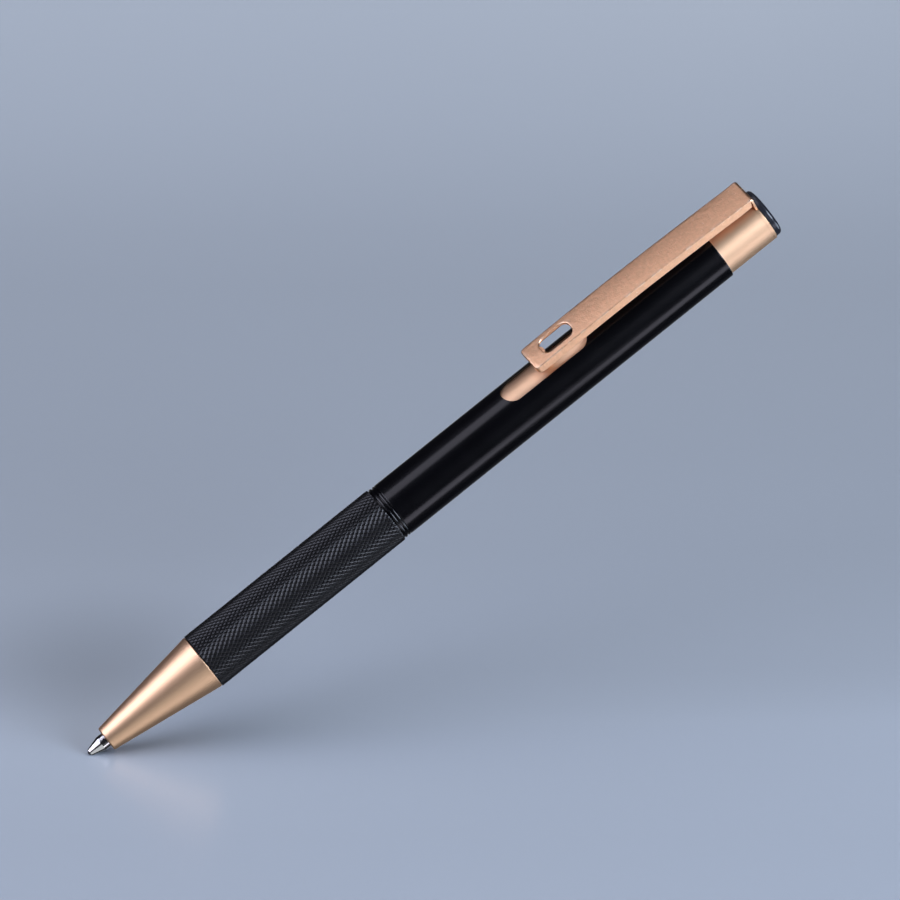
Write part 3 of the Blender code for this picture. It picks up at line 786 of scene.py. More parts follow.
@dataclass
class FrontEnd:
    """Nose cone, writing point, ball and return spring."""

    nose_front: float = 3.65
    nose_base: float = 23.57
    front_radius: float = 2.17
    base_radius: float = 4.9
    rim_round: float = 0.3
    rim_start: float = 97.8
    base_round: float = 0.12
    mouth_radius: float = 1.45
    mouth_break: float = 0.08
    spring_seat: float = 10.0
    chamber_radius: float = 2.35
    chamber_end: float = 21.6
    passage_radius: float = 3.2
    thread_radius: float = 3.95
    thread_end: float = 30.97
    edge_break: float = 0.1
    point_radius: float = 1.25
    point_lip: float = 0.33
    lip_radius: float = 0.59
    cone_end: float = 2.58
    point_end: float = 14.33
    cup_radius: float = 0.53
    cup_end: float = 0.965
    feed_radius: float = 0.2
    feed_front: float = 1.23
    feed_end: float = 1.63
    channel_radius: float = 0.4
    point_guard: float = 0.02
    ball_radius: float = 0.5
    ball_facets: int = 48
    spring_front: float = 10.13
    spring_rear: float = 23.88
    spring_radius: float = 2.0
    spring_turns: int = 9
    spring_steps: int = 32
    closed_pitch: float = 0.44
    wire_radius: float = 0.2
    wire_facets: int = 12
    held_end: float = 1.0

    def nose(self) -> Skin:
        """Straight cone with a rounded mouth, a bore, a chamber and a spigot, turned.

        Returns:
            The nose's surface.
        """
        rim = (self.nose_front + self.rim_round, self.front_radius - self.rim_round)
        base = (self.nose_base - self.base_round, self.base_radius - self.base_round)
        mouth = self.mouth_radius + self.mouth_break
        chamber_slope = self.passage_radius - self.chamber_radius
        outline = [
            (self.thread_end, self.thread_radius - self.edge_break),
            (self.thread_end - self.edge_break, self.thread_radius),
            (self.nose_base, self.thread_radius),
            (self.nose_base, base[1]),
            *arc(base, self.base_round, 0, 90, 5)[1:],
            *arc(rim, self.rim_round, self.rim_start, 180, 8),
            (self.nose_front, mouth),
            (self.nose_front + self.mouth_break, self.mouth_radius),
            (self.spring_seat, self.mouth_radius),
            (self.spring_seat, self.chamber_radius),
            (self.chamber_end, self.chamber_radius),
            (self.chamber_end + chamber_slope, self.passage_radius),
            (self.thread_end, self.passage_radius),
        ]
        return turned_ring(outline)

    def point(self) -> Skin:
        """Slim cone and shank with the socket and the ink channel inside, turned.

        Returns:
            The point's surface.
        """
        outline = [
            (self.point_end, self.point_radius - self.edge_break),
            (self.point_end - self.edge_break, self.point_radius),
            (self.cone_end, self.point_radius),
            (self.point_lip, self.lip_radius),
            (self.point_lip, self.cup_radius),
            (self.cup_end, self.cup_radius),
            (self.feed_front, self.feed_radius),
            (self.feed_end, self.feed_radius),
            (self.feed_end, self.channel_radius),
            (self.point_end, self.channel_radius),
        ]
        return turned_ring(outline, Pen.inner_facets, self.point_guard)

    def ball(self) -> Skin:
        """Sphere: a half circle turned round the axis.

        Returns:
            The ball's surface.
        """
        half = arc((self.ball_radius, 0.0), self.ball_radius, 180, 0, self.ball_facets // 2)
        half[[0, -1], 1] = 0.0
        return Skin().turned(half, self.ball_facets, ring=False)

    def spring(self) -> Skin:
        """Round wire on a helix whose first and last turns lie nearly closed.

        At turn u the wire's middle has the side R sin(2 pi u) and the lift R cos(2 pi u), and its
        station rises by the closed pitch in the end turns and evenly between them. The wire's
        circle lies in the plane of the outward way and its cross product with the wire's way.

        Returns:
            The spring's surface.
        """
        turns = np.linspace(0.0, self.spring_turns, self.spring_turns * self.spring_steps + 1)
        first = self.spring_front + self.wire_radius
        last = self.spring_rear - self.wire_radius
        ends = [0.0, 1.0, self.spring_turns - 1.0, self.spring_turns]
        places = [first, first + self.closed_pitch, last - self.closed_pitch, last]
        station = np.interp(turns, ends, places)
        out = np.stack([np.zeros_like(turns), np.sin(TURN * turns), np.cos(TURN * turns)], 1)
        middle = self.spring_radius * out + station[:, None] * np.array([1.0, 0.0, 0.0])
        way = np.gradient(middle, axis=0)
        way /= np.linalg.norm(way, axis=1, keepdims=True)
        angles = TURN * np.arange(self.wire_facets)[:, None] / self.wire_facets
        circle = np.cos(angles) * out[:, None] + np.sin(angles) * np.cross(way, out)[:, None]
        caps = np.repeat(middle[[0, -1], None], self.wire_facets, 1)
        wire = middle[:, None] + self.wire_radius * circle
        return Skin().grid(np.concatenate([caps[:1], wire, caps[1:]]), around=True)

    def build(self, wardrobe: Wardrobe) -> None:
        """Place the four pieces, and give the spring the refill as its far body.

        Args:
            wardrobe: The materials.
        """
        nose = Piece("nose_shell", "nose_cone", Body.BODY, Slot.CHAMPAGNE)
        nose.place(self.nose(), wardrobe)
        point = Piece("writing_point", "tip_cone", Body.REFILL, Slot.STEEL, crease=40.0)
        point.place(self.point(), wardrobe)
        ball = Piece("writing_ball", "ball", Body.REFILL, Slot.CARBIDE, crease=60.0)
        ball.place(self.ball(), wardrobe)
        spring = Piece("coil_spring", "return_spring", Body.BODY, Slot.STEEL, crease=60.0)
        spring.far_body = Body.REFILL
        spring.stretch = (self.spring_front + self.held_end, self.spring_rear - self.held_end)
        spring.place(self.spring(), wardrobe)


# Grip and joint


@dataclass
class Grip:
    """Knurled grip tube."""

    front: float = 23.62
    rear: float = 61.22
    radius: float = 5.0
    edge: float = 0.1
    thread_radius: float = 4.0
    thread_depth: float = 8.0
    bore: float = 3.2
    lines: int = 40
    samples: int = 8
    repeat: float = 1.14
    depth: float = 0.085
    crest_gain: float = 2.0
    inner_spacing: float = 12.0
    inner_guard: float = 0.05

    def knurl(self) -> Skin:
        """Diamond knurl between two families of V grooves, on a tube with threads at its ends.

        With a and b the counts of grooves passed along the two families, each point is lifted
        from the groove floor by the lesser of their distances to the nearest groove, times the
        gain, and the crests are cut level. A cell that a groove crosses is split along it.

        Returns:
            The grip's surface.
        """
        columns = self.lines * self.samples
        first = self.front + self.edge
        last = self.rear - self.edge
        rows = round((last - first) / self.repeat * self.samples)
        row, column = np.mgrid[0 : rows + 1, 0:columns]
        ahead = ridge((column + row) / self.samples)
        behind = ridge((column - row) / self.samples)
        crest = np.minimum(np.minimum(ahead, behind) * self.crest_gain, 1.0)
        radius = self.radius - self.depth * (1.0 - crest)
        station = np.broadcast_to(np.linspace(first, last, rows + 1)[:, None], radius.shape)
        cell_row, cell = row[:-1], column[:-1]
        along_behind = (cell - cell_row) % self.samples == 0
        along_ahead = (cell + cell_row + 1) % self.samples == 0
        split = np.where(along_behind, 1, np.where(along_ahead, 2, 0))
        skin = Skin().grid(self.around(station, radius), around=True, split=split, marks=crest)
        rings = np.repeat(self.inside()[:, None, :], columns, 1)
        stations = np.concatenate([station[-1:], rings[..., 0], station[:1]])
        radii = np.concatenate([radius[-1:], rings[..., 1], radius[:1]])
        return skin.grid(self.around(stations, radii), around=True)

    def inside(self) -> np.ndarray:
        """Outline from the rear rim through the threads and the bore to the front rim.

        Returns:
            Points of (station, radius).
        """
        rim = self.radius - self.edge
        rear_depth = self.rear - self.thread_depth
        front_depth = self.front + self.thread_depth
        outline = [
            (self.rear, rim),
            (self.rear, self.thread_radius),
            (rear_depth, self.thread_radius),
            (rear_depth, self.bore),
            (front_depth, self.bore),
            (front_depth, self.thread_radius),
            (self.front, self.thread_radius),
            (self.front, rim),
        ]
        return guarded(outline, self.inner_spacing, self.inner_guard)

    def around(self, station: np.ndarray, radius: np.ndarray) -> np.ndarray:
        """Points at even angles round the axis, one column to an angle."""
        angles = TURN * np.arange(radius.shape[1]) / radius.shape[1]
        return np.stack([station, radius * np.sin(angles), radius * np.cos(angles)], -1)

    def build(self, wardrobe: Wardrobe) -> None:
        """Place the grip."""
        grip = Piece("knurled_grip", "grip", Body.BODY, Slot.KNURLED, "crest", 24.0)
        grip.place(self.knurl(), wardrobe)


@dataclass
class Joint:
    """Trim ring and connector between the grip and the barrel."""

    ring_front: float = 61.4
    ring_rear: float = 61.9
    ring_bore: float = 4.0
    radius: float = 4.85
    edge_round: float = 0.18
    step: float = 0.16
    step_radius: float = 4.66
    flange_front: float = 62.08
    flange_rear: float = 62.5
    thread_radius: float = 3.95
    thread_front: float = 53.82
    spigot_radius: float = 4.52
    spigot_rear: float = 68.0
    seat_radius: float = 4.05
    seat_front: float = 63.0
    bore: float = 3.2

    def rim(self, front: float, rear: float) -> list:
        """Round rim of a disc and the low step before it, which closes the seam in front.

        Args:
            front: Station of the disc's front face.
            rear: Station of its rear face.

        Returns:
            Points from the rear face over to the step's front.
        """
        top = self.radius - self.edge_round
        return [
            *arc((rear - self.edge_round, top), self.edge_round, 0, 90, 4),
            *arc((front + self.edge_round, top), self.edge_round, 90, 180, 4),
            (front, self.step_radius),
            (front - self.step, self.step_radius),
        ]

    def ring(self) -> Skin:
        """Ring with a round rim and a step in front, turned.

        Returns:
            The ring's surface.
        """
        outline = self.rim(self.ring_front, self.ring_rear)
        outline += [(self.ring_front - self.step, self.ring_bore), (self.ring_rear, self.ring_bore)]
        return turned_ring(outline)

    def connector(self) -> Skin:
        """Flange between a spigot for the barrel and one for the grip, turned.

        Returns:
            The connector's surface.
        """
        outline = [
            *self.rim(self.flange_front, self.flange_rear),
            (self.flange_front - self.step, self.thread_radius),
            (self.thread_front, self.thread_radius),
            (self.thread_front, self.bore),
            (self.seat_front, self.bore),
            (self.seat_front, self.seat_radius),
            (self.spigot_rear, self.seat_radius),
            (self.spigot_rear, self.spigot_radius),
            (self.flange_rear, self.spigot_radius),
        ]
        return turned_ring(outline)

    def build(self, wardrobe: Wardrobe) -> None:
        """Place the ring and the connector.

        Args:
            wardrobe: The materials.
        """
        ring = Piece("trim_ring", "joint_ring", Body.BODY, Slot.LACQUER)
        ring.place(self.ring(), wardrobe)
        flange = Piece("connector_flange", "connector", Body.BODY, Slot.LACQUER)
        flange.place(self.connector(), wardrobe)


# Barrel


@dataclass
class Barrel:
    """Thin lacquered tube with a long slot for the clip's foot.

    The tube's grid leaves out a patch over the slot, outside and inside, and the patch has a grid
    of its own that runs from the patch's rim to the slot.
    """

    front: float = 62.55
    rear: float = 129.11
    radius: float = 4.84
    bore: float = 4.57
    edge: float = 0.12
    edge_steps: int = 3
    slot_front: float = 87.36
    slot_rear: float = 104.35
    slot_width: float = 4.4
    margin: float = 0.8
    patch_half: float = 3.0
    end_steps: int = 10
    side_steps: int = 22
    cross_steps: int = 16
    rest_steps: int = 150
    ring_steps: int = 5
    outer_spacing: float = 3.0
    inner_spacing: float = 6.0

    def stations(self) -> np.ndarray:
        """Stations of the patch's rows, closer together over the slot's round ends.

        Returns:
            The stations, from front to rear.
        """
        reach = self.slot_width / 2
        low, high = self.slot_front, self.slot_rear
        front = np.linspace(low - self.margin, low + reach, self.end_steps + 1)
        middle = np.linspace(low + reach, high - reach, self.side_steps + 1)
        rear = np.linspace(high - reach, high + self.margin, self.end_steps + 1)
        return np.concatenate([front, middle[1:-1], rear])

    def sides(self) -> np.ndarray:
        """Sides of the patch's columns."""
        return np.linspace(-self.patch_half, self.patch_half, self.cross_steps + 1)

    def columns(self, radius: np.ndarray) -> np.ndarray:
        """Angles of the columns: even in width across the patch, even in angle elsewhere.

        Args:
            radius: Radius of each row.

        Returns:
            An angle for each row and column.
        """
        across = np.arcsin(self.sides() / radius[:, None])
        share = np.arange(1, self.rest_steps) / self.rest_steps
        edge = across[:, -1:]
        return np.concatenate([across, edge + (TURN - 2.0 * edge) * share], 1)

    def tube(self) -> Skin:
        """Closed tube, its wall open over the patch outside and inside.

        Returns:
            The tube's surface.
        """
        patch = self.stations()
        top = self.radius - self.edge
        ahead = arc((self.front + self.edge, top), self.edge, 180, 90, self.edge_steps)
        behind = arc((self.rear - self.edge, top), self.edge, 90, 0, self.edge_steps)
        lead = guarded([ahead[-1], (patch[0], self.radius)], self.outer_spacing)[1:-1]
        tail = guarded([(patch[-1], self.radius), behind[0]], self.outer_spacing)[1:-1]
        outer = np.stack([patch, np.full(len(patch), self.radius)], 1)
        inner = np.stack([patch[::-1], np.full(len(patch), self.bore)], 1)
        back = guarded([(self.rear, self.bore), inner[0]], self.inner_spacing)[:-1]
        forth = guarded([inner[-1], (self.front, self.bore)], self.inner_spacing)[1:]
        rows = np.concatenate([ahead, lead, outer, tail, behind, back, inner, forth])
        angles = self.columns(rows[:, 1])
        station = np.repeat(rows[:, :1], angles.shape[1], 1)
        points = [station, rows[:, 1:] * np.sin(angles), rows[:, 1:] * np.cos(angles)]
        keep = np.ones(angles.shape, bool)
        first_outer = len(ahead) + len(lead)
        first_inner = first_outer + len(outer) + len(tail) + len(behind) + len(back)
        for first in (first_outer, first_inner):
            keep[first : first + len(patch) - 1, : self.cross_steps] = False
        return Skin().grid(np.stack(points, -1), around=True, closed=True, keep=keep)

    def frame_loop(self) -> np.ndarray:
        """Rim of the patch: a long side, the rear side, the other long side and the front one.

        Returns:
            Points of (station, side).
        """
        patch, side = self.stations(), self.sides()
        right = np.stack([patch[:-1], np.full(len(patch) - 1, self.patch_half)], 1)
        rear = np.stack([np.full(len(side) - 1, patch[-1]), side[:0:-1]], 1)
        left = np.stack([patch[:0:-1], np.full(len(patch) - 1, -self.patch_half)], 1)
        front = np.stack([np.full(len(side) - 1, patch[0]), side[:-1]], 1)
        return np.concatenate([right, rear, left, front])

    def slot_loop(self) -> np.ndarray:
        """Round-ended slot with one point for each of the patch's rim.

        Beside the straight part the points are straight across; round an end they share out
        the half circle, an eighth of a turn to each half side of the rim.

        Returns:
            Points of (station, side).
        """
        half = self.slot_width / 2
        frame_points = self.frame_loop()
        low, high = self.slot_front + half, self.slot_rear - half
        station, side = frame_points[:, 0], frame_points[:, 1]
        over = np.clip((station - high) / (self.slot_rear + self.margin - high), 0.0, 1.0)
        under = np.clip((low - station) / (low - self.slot_front + self.margin), 0.0, 1.0)
        across = side / self.patch_half
        at_end = np.maximum(over, under) > 1.0 - WELD
        lean = np.where(at_end, 0.5 + 0.5 * (1.0 - np.abs(across)), 0.5 * (over + under))
        angle = lean * math.pi / 2
        middle = np.clip(station, low, high)
        ahead = np.where(over > 0.0, 1.0, np.where(under > 0.0, -1.0, 0.0))
        sign = np.where(side >= 0.0, 1.0, -1.0)
        points = [middle + ahead * half * np.sin(angle), sign * half * np.cos(angle)]
        return np.stack(points, 1)

    def patch(self, skin: Skin) -> Skin:
        """Wall round the slot: straight from the patch's rim to the slot, and through it.

        The lift is the root of the radius squared less the side squared.

        Args:
            skin: The surface that the wall is added to.

        Returns:
            That surface.
        """
        rim, slot = self.frame_loop(), self.slot_loop()
        share = np.linspace(0.0, 1.0, self.ring_steps + 1)[:, None, None]
        flat = rim + (slot - rim) * share
        rows = np.concatenate([flat, flat[::-1]])
        radius = np.repeat([self.radius, self.bore], self.ring_steps + 1)[:, None]
        lift = np.sqrt(radius**2 - rows[..., 1] ** 2)
        return skin.grid(np.concatenate([rows, lift[..., None]], 2), around=True)

    def build(self, wardrobe: Wardrobe) -> None:
        """Place the barrel."""
        barrel = Piece("slotted_barrel", "barrel", Body.BODY, Slot.LACQUER)
        barrel.place(self.patch(self.tube()), wardrobe)


# Press cap


@dataclass
class Cap:
    """Sliding sleeve whose rear end is the press cap, and the end button."""

    front: float = 69.3
    rear: float = 137.96
    radius: float = 4.5
    bore: float = 4.1
    edge: float = 0.1
    rear_edge: float = 0.02
    button_front: float = 138.56
    button_rear: float = 139.8
    button_radius: float = 4.3
    button_flat: float = 3.7
    button_drop: float = 0.6
    button_crown: float = 0.04
    crown_steps: int = 8
    recess_radius: float = 2.25
    recess_end: float = 139.21

    def sleeve(self) -> Skin:
        """Thin tube with a round front edge and a fine one at the disc, turned.

        Returns:
            The sleeve's surface.
        """
        outline = [
            (self.rear, self.radius - self.rear_edge),
            (self.rear - self.rear_edge, self.radius),
            *arc((self.front + self.edge, self.radius - self.edge), self.edge, 90, 180, 4),
            (self.front, self.bore),
            (self.rear, self.bore),
        ]
        return turned_ring(outline)

    def button(self) -> Skin:
        """Button with a domed edge and a recess for the screw head, turned.

        The face drops by the crown times the square of the share of its radius.

        Returns:
            The button's surface.
        """
        width = self.button_radius - self.button_flat
        shoulder = (self.button_rear - self.button_crown - self.button_drop, self.button_flat)
        heel = (self.button_front + self.edge, self.button_radius - self.edge)
        crown = np.linspace(0.0, 1.0, self.crown_steps + 1)[:-1, None]
        drop = self.button_crown * crown**2
        outline = [
            *np.concatenate([self.button_rear - drop, self.button_flat * crown], 1),
            *arc(shoulder, (self.button_drop, width), 0, 90, 10),
            *arc(heel, self.edge, 90, 180, 4),
            (self.button_front, self.recess_radius),
            (self.recess_end, self.recess_radius),
            (self.recess_end, 0.0),
        ]
        return Skin().turned(guarded(outline), Pen.facets, ring=False)

    def build(self, wardrobe: Wardrobe) -> None:
        """Place the sleeve and the button.

        Args:
            wardrobe: The materials.
        """
        sleeve = Piece("cap_sleeve", "sleeve", Body.PLUNGER, Slot.CHAMPAGNE)
        sleeve.place(self.sleeve(), wardrobe)
        button = Piece("end_button", "finial", Body.PLUNGER, Slot.SMOKED, crease=50.0)
        button.place(self.button(), wardrobe)


# Clip


@dataclass(frozen=True)
class Trace:
    """Middle line of the clip's face, from its front end to its end plate's lower edge.

    run is the distance along the line at each of its points, line has the points as (station,
    lift) and heading the line's way at them. The others are runs: where the bend starts and
    ends, where the slanting cut of the sides starts and ends, and where the line ends.
    """

    run: np.ndarray
    line: np.ndarray
    heading: np.ndarray
    bend_start: float
    bend_end: float
    cut_start: float
    cut_end: float
    end: float


@dataclass
class Clip:
    """Folded sheet clip: an arched channel with a window, a foot and an end plate.

    It is worked out flat, as a tray: run is the distance along the sheet from its front end,
    side the distance across it and depth the distance below its face. bend() then lays the
    tray along the arch and down over the rear end. Behind the split the tray's sheet runs
    straight across, and ahead of it round the window.
    """

    front: float = 94.16
    rear: float = 138.51
    half_width: float = 2.64
    height: float = 1.4
    lean: float = 0.16
    front_height: float = 1.1
    front_run: float = 1.3
    sheet: float = 0.5
    inner_inset: float = 0.1
    root_lift: float = 7.45
    rise: float = 0.78
    crest: float = 0.68
    crown: float = 0.12
    crown_fade: float = 2.0
    corner: float = 0.6
    edge: float = 0.22
    small_edge: float = 0.08
    bend_radius: float = 0.55
    plate_end: float = 3.0
    plate_taper: float = 0.75
    cut_start: float = 137.72
    cut_end: float = 137.95
    cut_guard: float = 0.05
    cut_lead: float = 0.6
    slope_from: float = 0.5
    slope_to: float = 0.4
    face_split: float = 11.4
    window_middle: float = 5.71
    window_half_length: float = 2.98
    window_half_width: float = 1.6
    window_corner: float = 1.25
    window_edge: float = 0.2
    window_steps: int = 12
    cross_steps: int = 12
    corner_steps: int = 8
    foot_run: float = 2.1
    foot_radius: float = 1.1
    foot_low: float = 4.65
    foot_edge: float = 0.4
    foot_spacing: float = 0.6
    foot_facets: int = 40
    disc_front: float = 137.97
    disc_rear: float = 138.49
    disc_radius: float = 4.5
    disc_edge: float = 0.05
    disc_hole: float = 1.05

    def lift(self, station: np.ndarray) -> np.ndarray:
        """Lift of the face: the root's lift plus the rise times the sine of a quarter wave."""
        share = (self.rear - station) / (self.rear - self.front)
        return self.root_lift + self.rise * np.sin(0.5 * math.pi * share / self.crest)

    @cached_property
    def trace(self) -> Trace:
        """Middle line of the face: the arch, a quarter bend and the end plate.

        Returns:
            The line and its places.
        """
        ends = np.array([self.rear - self.slope_from, self.rear - self.slope_to])
        high, low = self.lift(ends)
        lean = math.atan((high - low) / (self.slope_from - self.slope_to))
        bend_start = self.rear - self.bend_radius * (1.0 - math.sin(lean))
        station = np.linspace(self.front, bend_start, 900)
        arch = np.stack([station, self.lift(station)], 1)
        centre = arch[-1] - self.bend_radius * np.array([math.sin(lean), math.cos(lean)])
        angle = np.linspace(lean, math.pi / 2, 40)[1:, None]
        around = centre + self.bend_radius * np.concatenate([np.sin(angle), np.cos(angle)], 1)
        down = np.linspace(around[-1, 1], self.plate_end, 20)[1:]
        plate = np.stack([np.full(len(down), around[-1, 0]), down], 1)
        line = np.concatenate([arch, around, plate])
        length = np.linalg.norm(np.diff(line, axis=0), axis=1)
        run = np.concatenate([[0.0], np.cumsum(length)])
        heading = np.gradient(line, run, axis=0)
        heading /= np.linalg.norm(heading, axis=1)[:, None]
        return Trace(
            run=run,
            line=line,
            heading=heading,
            bend_start=float(run[len(arch) - 1]),
            bend_end=float(run[len(arch) + len(around) - 1]),
            cut_start=float(np.interp(self.cut_start, station, run[: len(arch)])),
            cut_end=float(np.interp(self.cut_end, station, run[: len(arch)])),
            end=float(run[-1]),
        )

    def bend(self, run: np.ndarray, side: np.ndarray, depth: np.ndarray) -> np.ndarray:
        """Lay flat points along the traced line.

        A point goes to the line at its run, less its depth along the line's upward normal. The
        crown adds to the depth by the square of the side, up to the bend.

        Args:
            run: Runs of the points.
            side: Sides of the points.
            depth: Depths of the points.

        Returns:
            The points as (station, side, lift).
        """
        trace = self.trace
        fade = np.clip((trace.bend_start - run) / self.crown_fade, 0.0, 1.0)
        deep = depth + self.crown * fade * (side / self.half_width) ** 2
        spot = [np.interp(run, trace.run, part) for part in trace.line.T]
        head = [np.interp(run, trace.run, part) for part in trace.heading.T]
        station = spot[0] + deep * head[1]
        lift = spot[1] - deep * head[0]
        return np.stack([station, side + 0.0 * run, lift], -1)

    def width_at(self, run: np.ndarray) -> np.ndarray:
        """Half width, full up to the bend and narrowing down the end plate."""
        low, high = self.trace.bend_end, self.trace.end
        return self.half_width - self.plate_taper * np.clip((run - low) / (high - low), 0, 1)

    def depth_at(self, run: np.ndarray) -> np.ndarray:
        """Depth of the wall: less at the front, full, and cut slanting to the sheet's own.

        Args:
            run: Runs of the wall's points.

        Returns:
            A depth for each.
        """
        start, end = self.trace.cut_start, self.trace.cut_end
        rise = smooth_step(run / self.front_run)
        front = self.front_height + (self.height - self.front_height) * rise
        share = np.clip((run - start) / (end - start), 0.0, 1.0)
        return front + (self.sheet - front) * share

    def side_runs(self) -> tuple[np.ndarray, np.ndarray]:
        """Runs of the rows on a side, from the rear end forwards.

        Returns:
            Those behind the split and those from the split to the front corner.
        """
        trace = self.trace
        plate = np.linspace(trace.end, trace.bend_end, 5)
        turn = np.linspace(trace.bend_end, trace.bend_start, 9)[1:]
        cut = np.linspace(trace.bend_start, trace.cut_end, 3)[1:]
        slant = np.linspace(trace.cut_end, trace.cut_start, 5)[1:]
        near = [trace.cut_start - self.cut_guard]
        body = np.linspace(trace.cut_start - self.cut_lead, self.face_split, 30)
        ahead = np.linspace(self.face_split, self.corner, 19)[1:]
        return np.concatenate([plate, turn, cut, slant, near, body]), ahead

    def rim_path(self) -> tuple[np.ndarray, np.ndarray, int]:
        """Outline of the tray with its outward normals, round the front end from side to side.

        Returns:
            Points, normals, and how many rows each side has behind the split.
        """
        behind, ahead = self.side_runs()
        runs = np.concatenate([behind, ahead])
        side = np.stack([runs, self.width_at(runs)], 1)
        angle = np.radians(np.linspace(90.0, 180.0, self.corner_steps + 1))[1:, None]
        normal = np.concatenate([np.cos(angle), np.sin(angle)], 1)
        turn = np.array([self.corner, self.half_width - self.corner]) + self.corner * normal
        across = np.linspace(turn[-1, 1], 0.0, 6)[1:]
        front = np.stack([np.zeros(len(across)), across], 1)
        points = np.concatenate([side, turn, front])
        outwards = np.tile([0.0, 1.0], (len(side), 1))
        forwards = np.tile([-1.0, 0.0], (len(front), 1))
        normals = np.concatenate([outwards, normal, forwards])
        mirror = np.array([1.0, -1.0])
        points = np.concatenate([points, points[-2::-1] * mirror])
        normals = np.concatenate([normals, normals[-2::-1] * mirror])
        return points, normals, len(behind)

    def section(self, deep: np.ndarray) -> list[tuple[float, np.ndarray, float]]:
        """Section of the wall, down its outside and up its inside to the ceiling.

        It runs from the face over a round edge, down the outside, round the lower edge and up
        the inside. Its last four points are those of the inside.

        Args:
            deep: Depth of the wall at each point of the rim path.

        Returns:
            For each point of the section how far it lies outside the rim, its depths along the
            rim path, and its mark of wear.
        """
        level = np.ones(len(deep))
        small = self.small_edge
        foot = np.maximum(deep - small, self.edge)
        inner_foot = np.maximum(deep - small, self.sheet)
        inner_top = np.minimum(self.sheet + self.inner_inset, inner_foot)
        edge_wear = zip(np.radians(np.linspace(0.0, 90.0, 7)), (0.4, 0.7, 1.0, 1.0, 1.0, 0.6, 0.3))
        rows = []
        for angle, wear in edge_wear:
            drop = self.edge * (1.0 - math.cos(angle))
            rows.append((self.edge * (math.sin(angle) - 1.0), level * drop, wear))
        for share, wear in ((0.06, 0.0), (0.35, 0.0), (0.65, 0.0), (0.94, 0.0), (1.0, 0.5)):
            rows.append((0.0, self.edge + (foot - self.edge) * share, wear))
        for angle in np.radians([30.0, 60.0, 90.0]):
            drop = (deep - foot) * math.sin(angle)
            rows.append((small * (math.cos(angle) - 1.0), foot + drop, 0.8))
        rows += [(small - self.sheet, deep, 0.0), (-self.sheet, inner_foot, 0.0)]
        rows += [(-self.sheet, inner_top, 0.0)]
        rows += [(-self.sheet - self.inner_inset, level * self.sheet, 0.0)]
        return rows

    def wall(self, skin: Skin) -> None:
        """Carry the wall's section along the rim path.

        The sides lean out: they shift by the lean times the depth below the edge, or inside
        below the ceiling. Both ends of the wall are closed by fans from the section's first
        and last points.

        Args:
            skin: The surface that the wall is added to.
        """
        points, normals, _ = self.rim_path()
        out, down, marks = zip(*self.section(self.depth_at(points[:, 0])))
        offset, depth = np.array(out), np.stack(down, 1)
        start = np.where(np.arange(len(out)) < len(out) - 4, self.edge, self.sheet)
        lean = self.lean * np.maximum(depth - start, 0.0)
        run = points[:, :1] + normals[:, :1] * offset
        side = points[:, 1:] + normals[:, 1:] * (offset + lean)
        grid = self.bend(run, side, depth)
        skin.grid(grid, marks=np.broadcast_to(marks, grid.shape[:2]))
        half = len(out) // 2
        for section in (grid[0], grid[-1]):
            ends = [np.repeat(section[:1], half, 0), np.repeat(section[-1:], len(out) - half, 0)]
            skin.grid(np.stack([section, np.concatenate(ends)]))

    def inset(self, distance: float) -> tuple[np.ndarray, int]:
        """Rim path moved inwards, with the number of rows behind the split."""
        points, normals, behind = self.rim_path()
        return points - normals * distance, behind

    def rear_face(self, skin: Skin, distance: float, depth: float) -> None:
        """Level sheet behind the split, straight across between the two sides.

        Args:
            skin: The surface that the sheet is added to.
            distance: How far inside the rim the sheet's sides lie.
            depth: The sheet's depth.
        """
        points, behind = self.inset(distance)
        first, last = points[:behind], points[::-1][:behind]
        share = np.linspace(0.0, 1.0, self.cross_steps + 1)[None, :, None]
        flat = first[:, None] + (last - first)[:, None] * share
        skin.grid(self.bend(flat[..., 0], flat[..., 1], np.full(flat.shape[:2], depth)))

    def end_cap(self, skin: Skin) -> None:
        """Close the end plate's lower edge, straight from its face to its back.

        Args:
            skin: The surface that the edge is added to.
        """
        share = np.linspace(0.0, 1.0, self.cross_steps + 1)[:, None]
        rims = [self.inset(self.edge)[0], self.inset(self.sheet + self.inner_inset)[0]]
        rows = np.stack([rim[0] + (rim[-1] - rim[0]) * share for rim in rims])
        depth = np.array([[0.0], [self.sheet]]) * np.ones(self.cross_steps + 1)
        skin.grid(self.bend(rows[..., 0], rows[..., 1], depth))

    def front_loop(self, distance: float) -> np.ndarray:
        """Closed loop round the window: the rim path ahead of the split and a line across.

        Args:
            distance: How far the rim path is moved inwards.

        Returns:
            Points of (run, side).
        """
        points, behind = self.inset(distance)
        ahead = points[behind - 1 : len(points) - behind + 1]
        share = np.linspace(0.0, 1.0, self.cross_steps + 1)[1:-1, None]
        cross = ahead[-1] + (ahead[0] - ahead[-1]) * share
        return np.concatenate([ahead, cross])

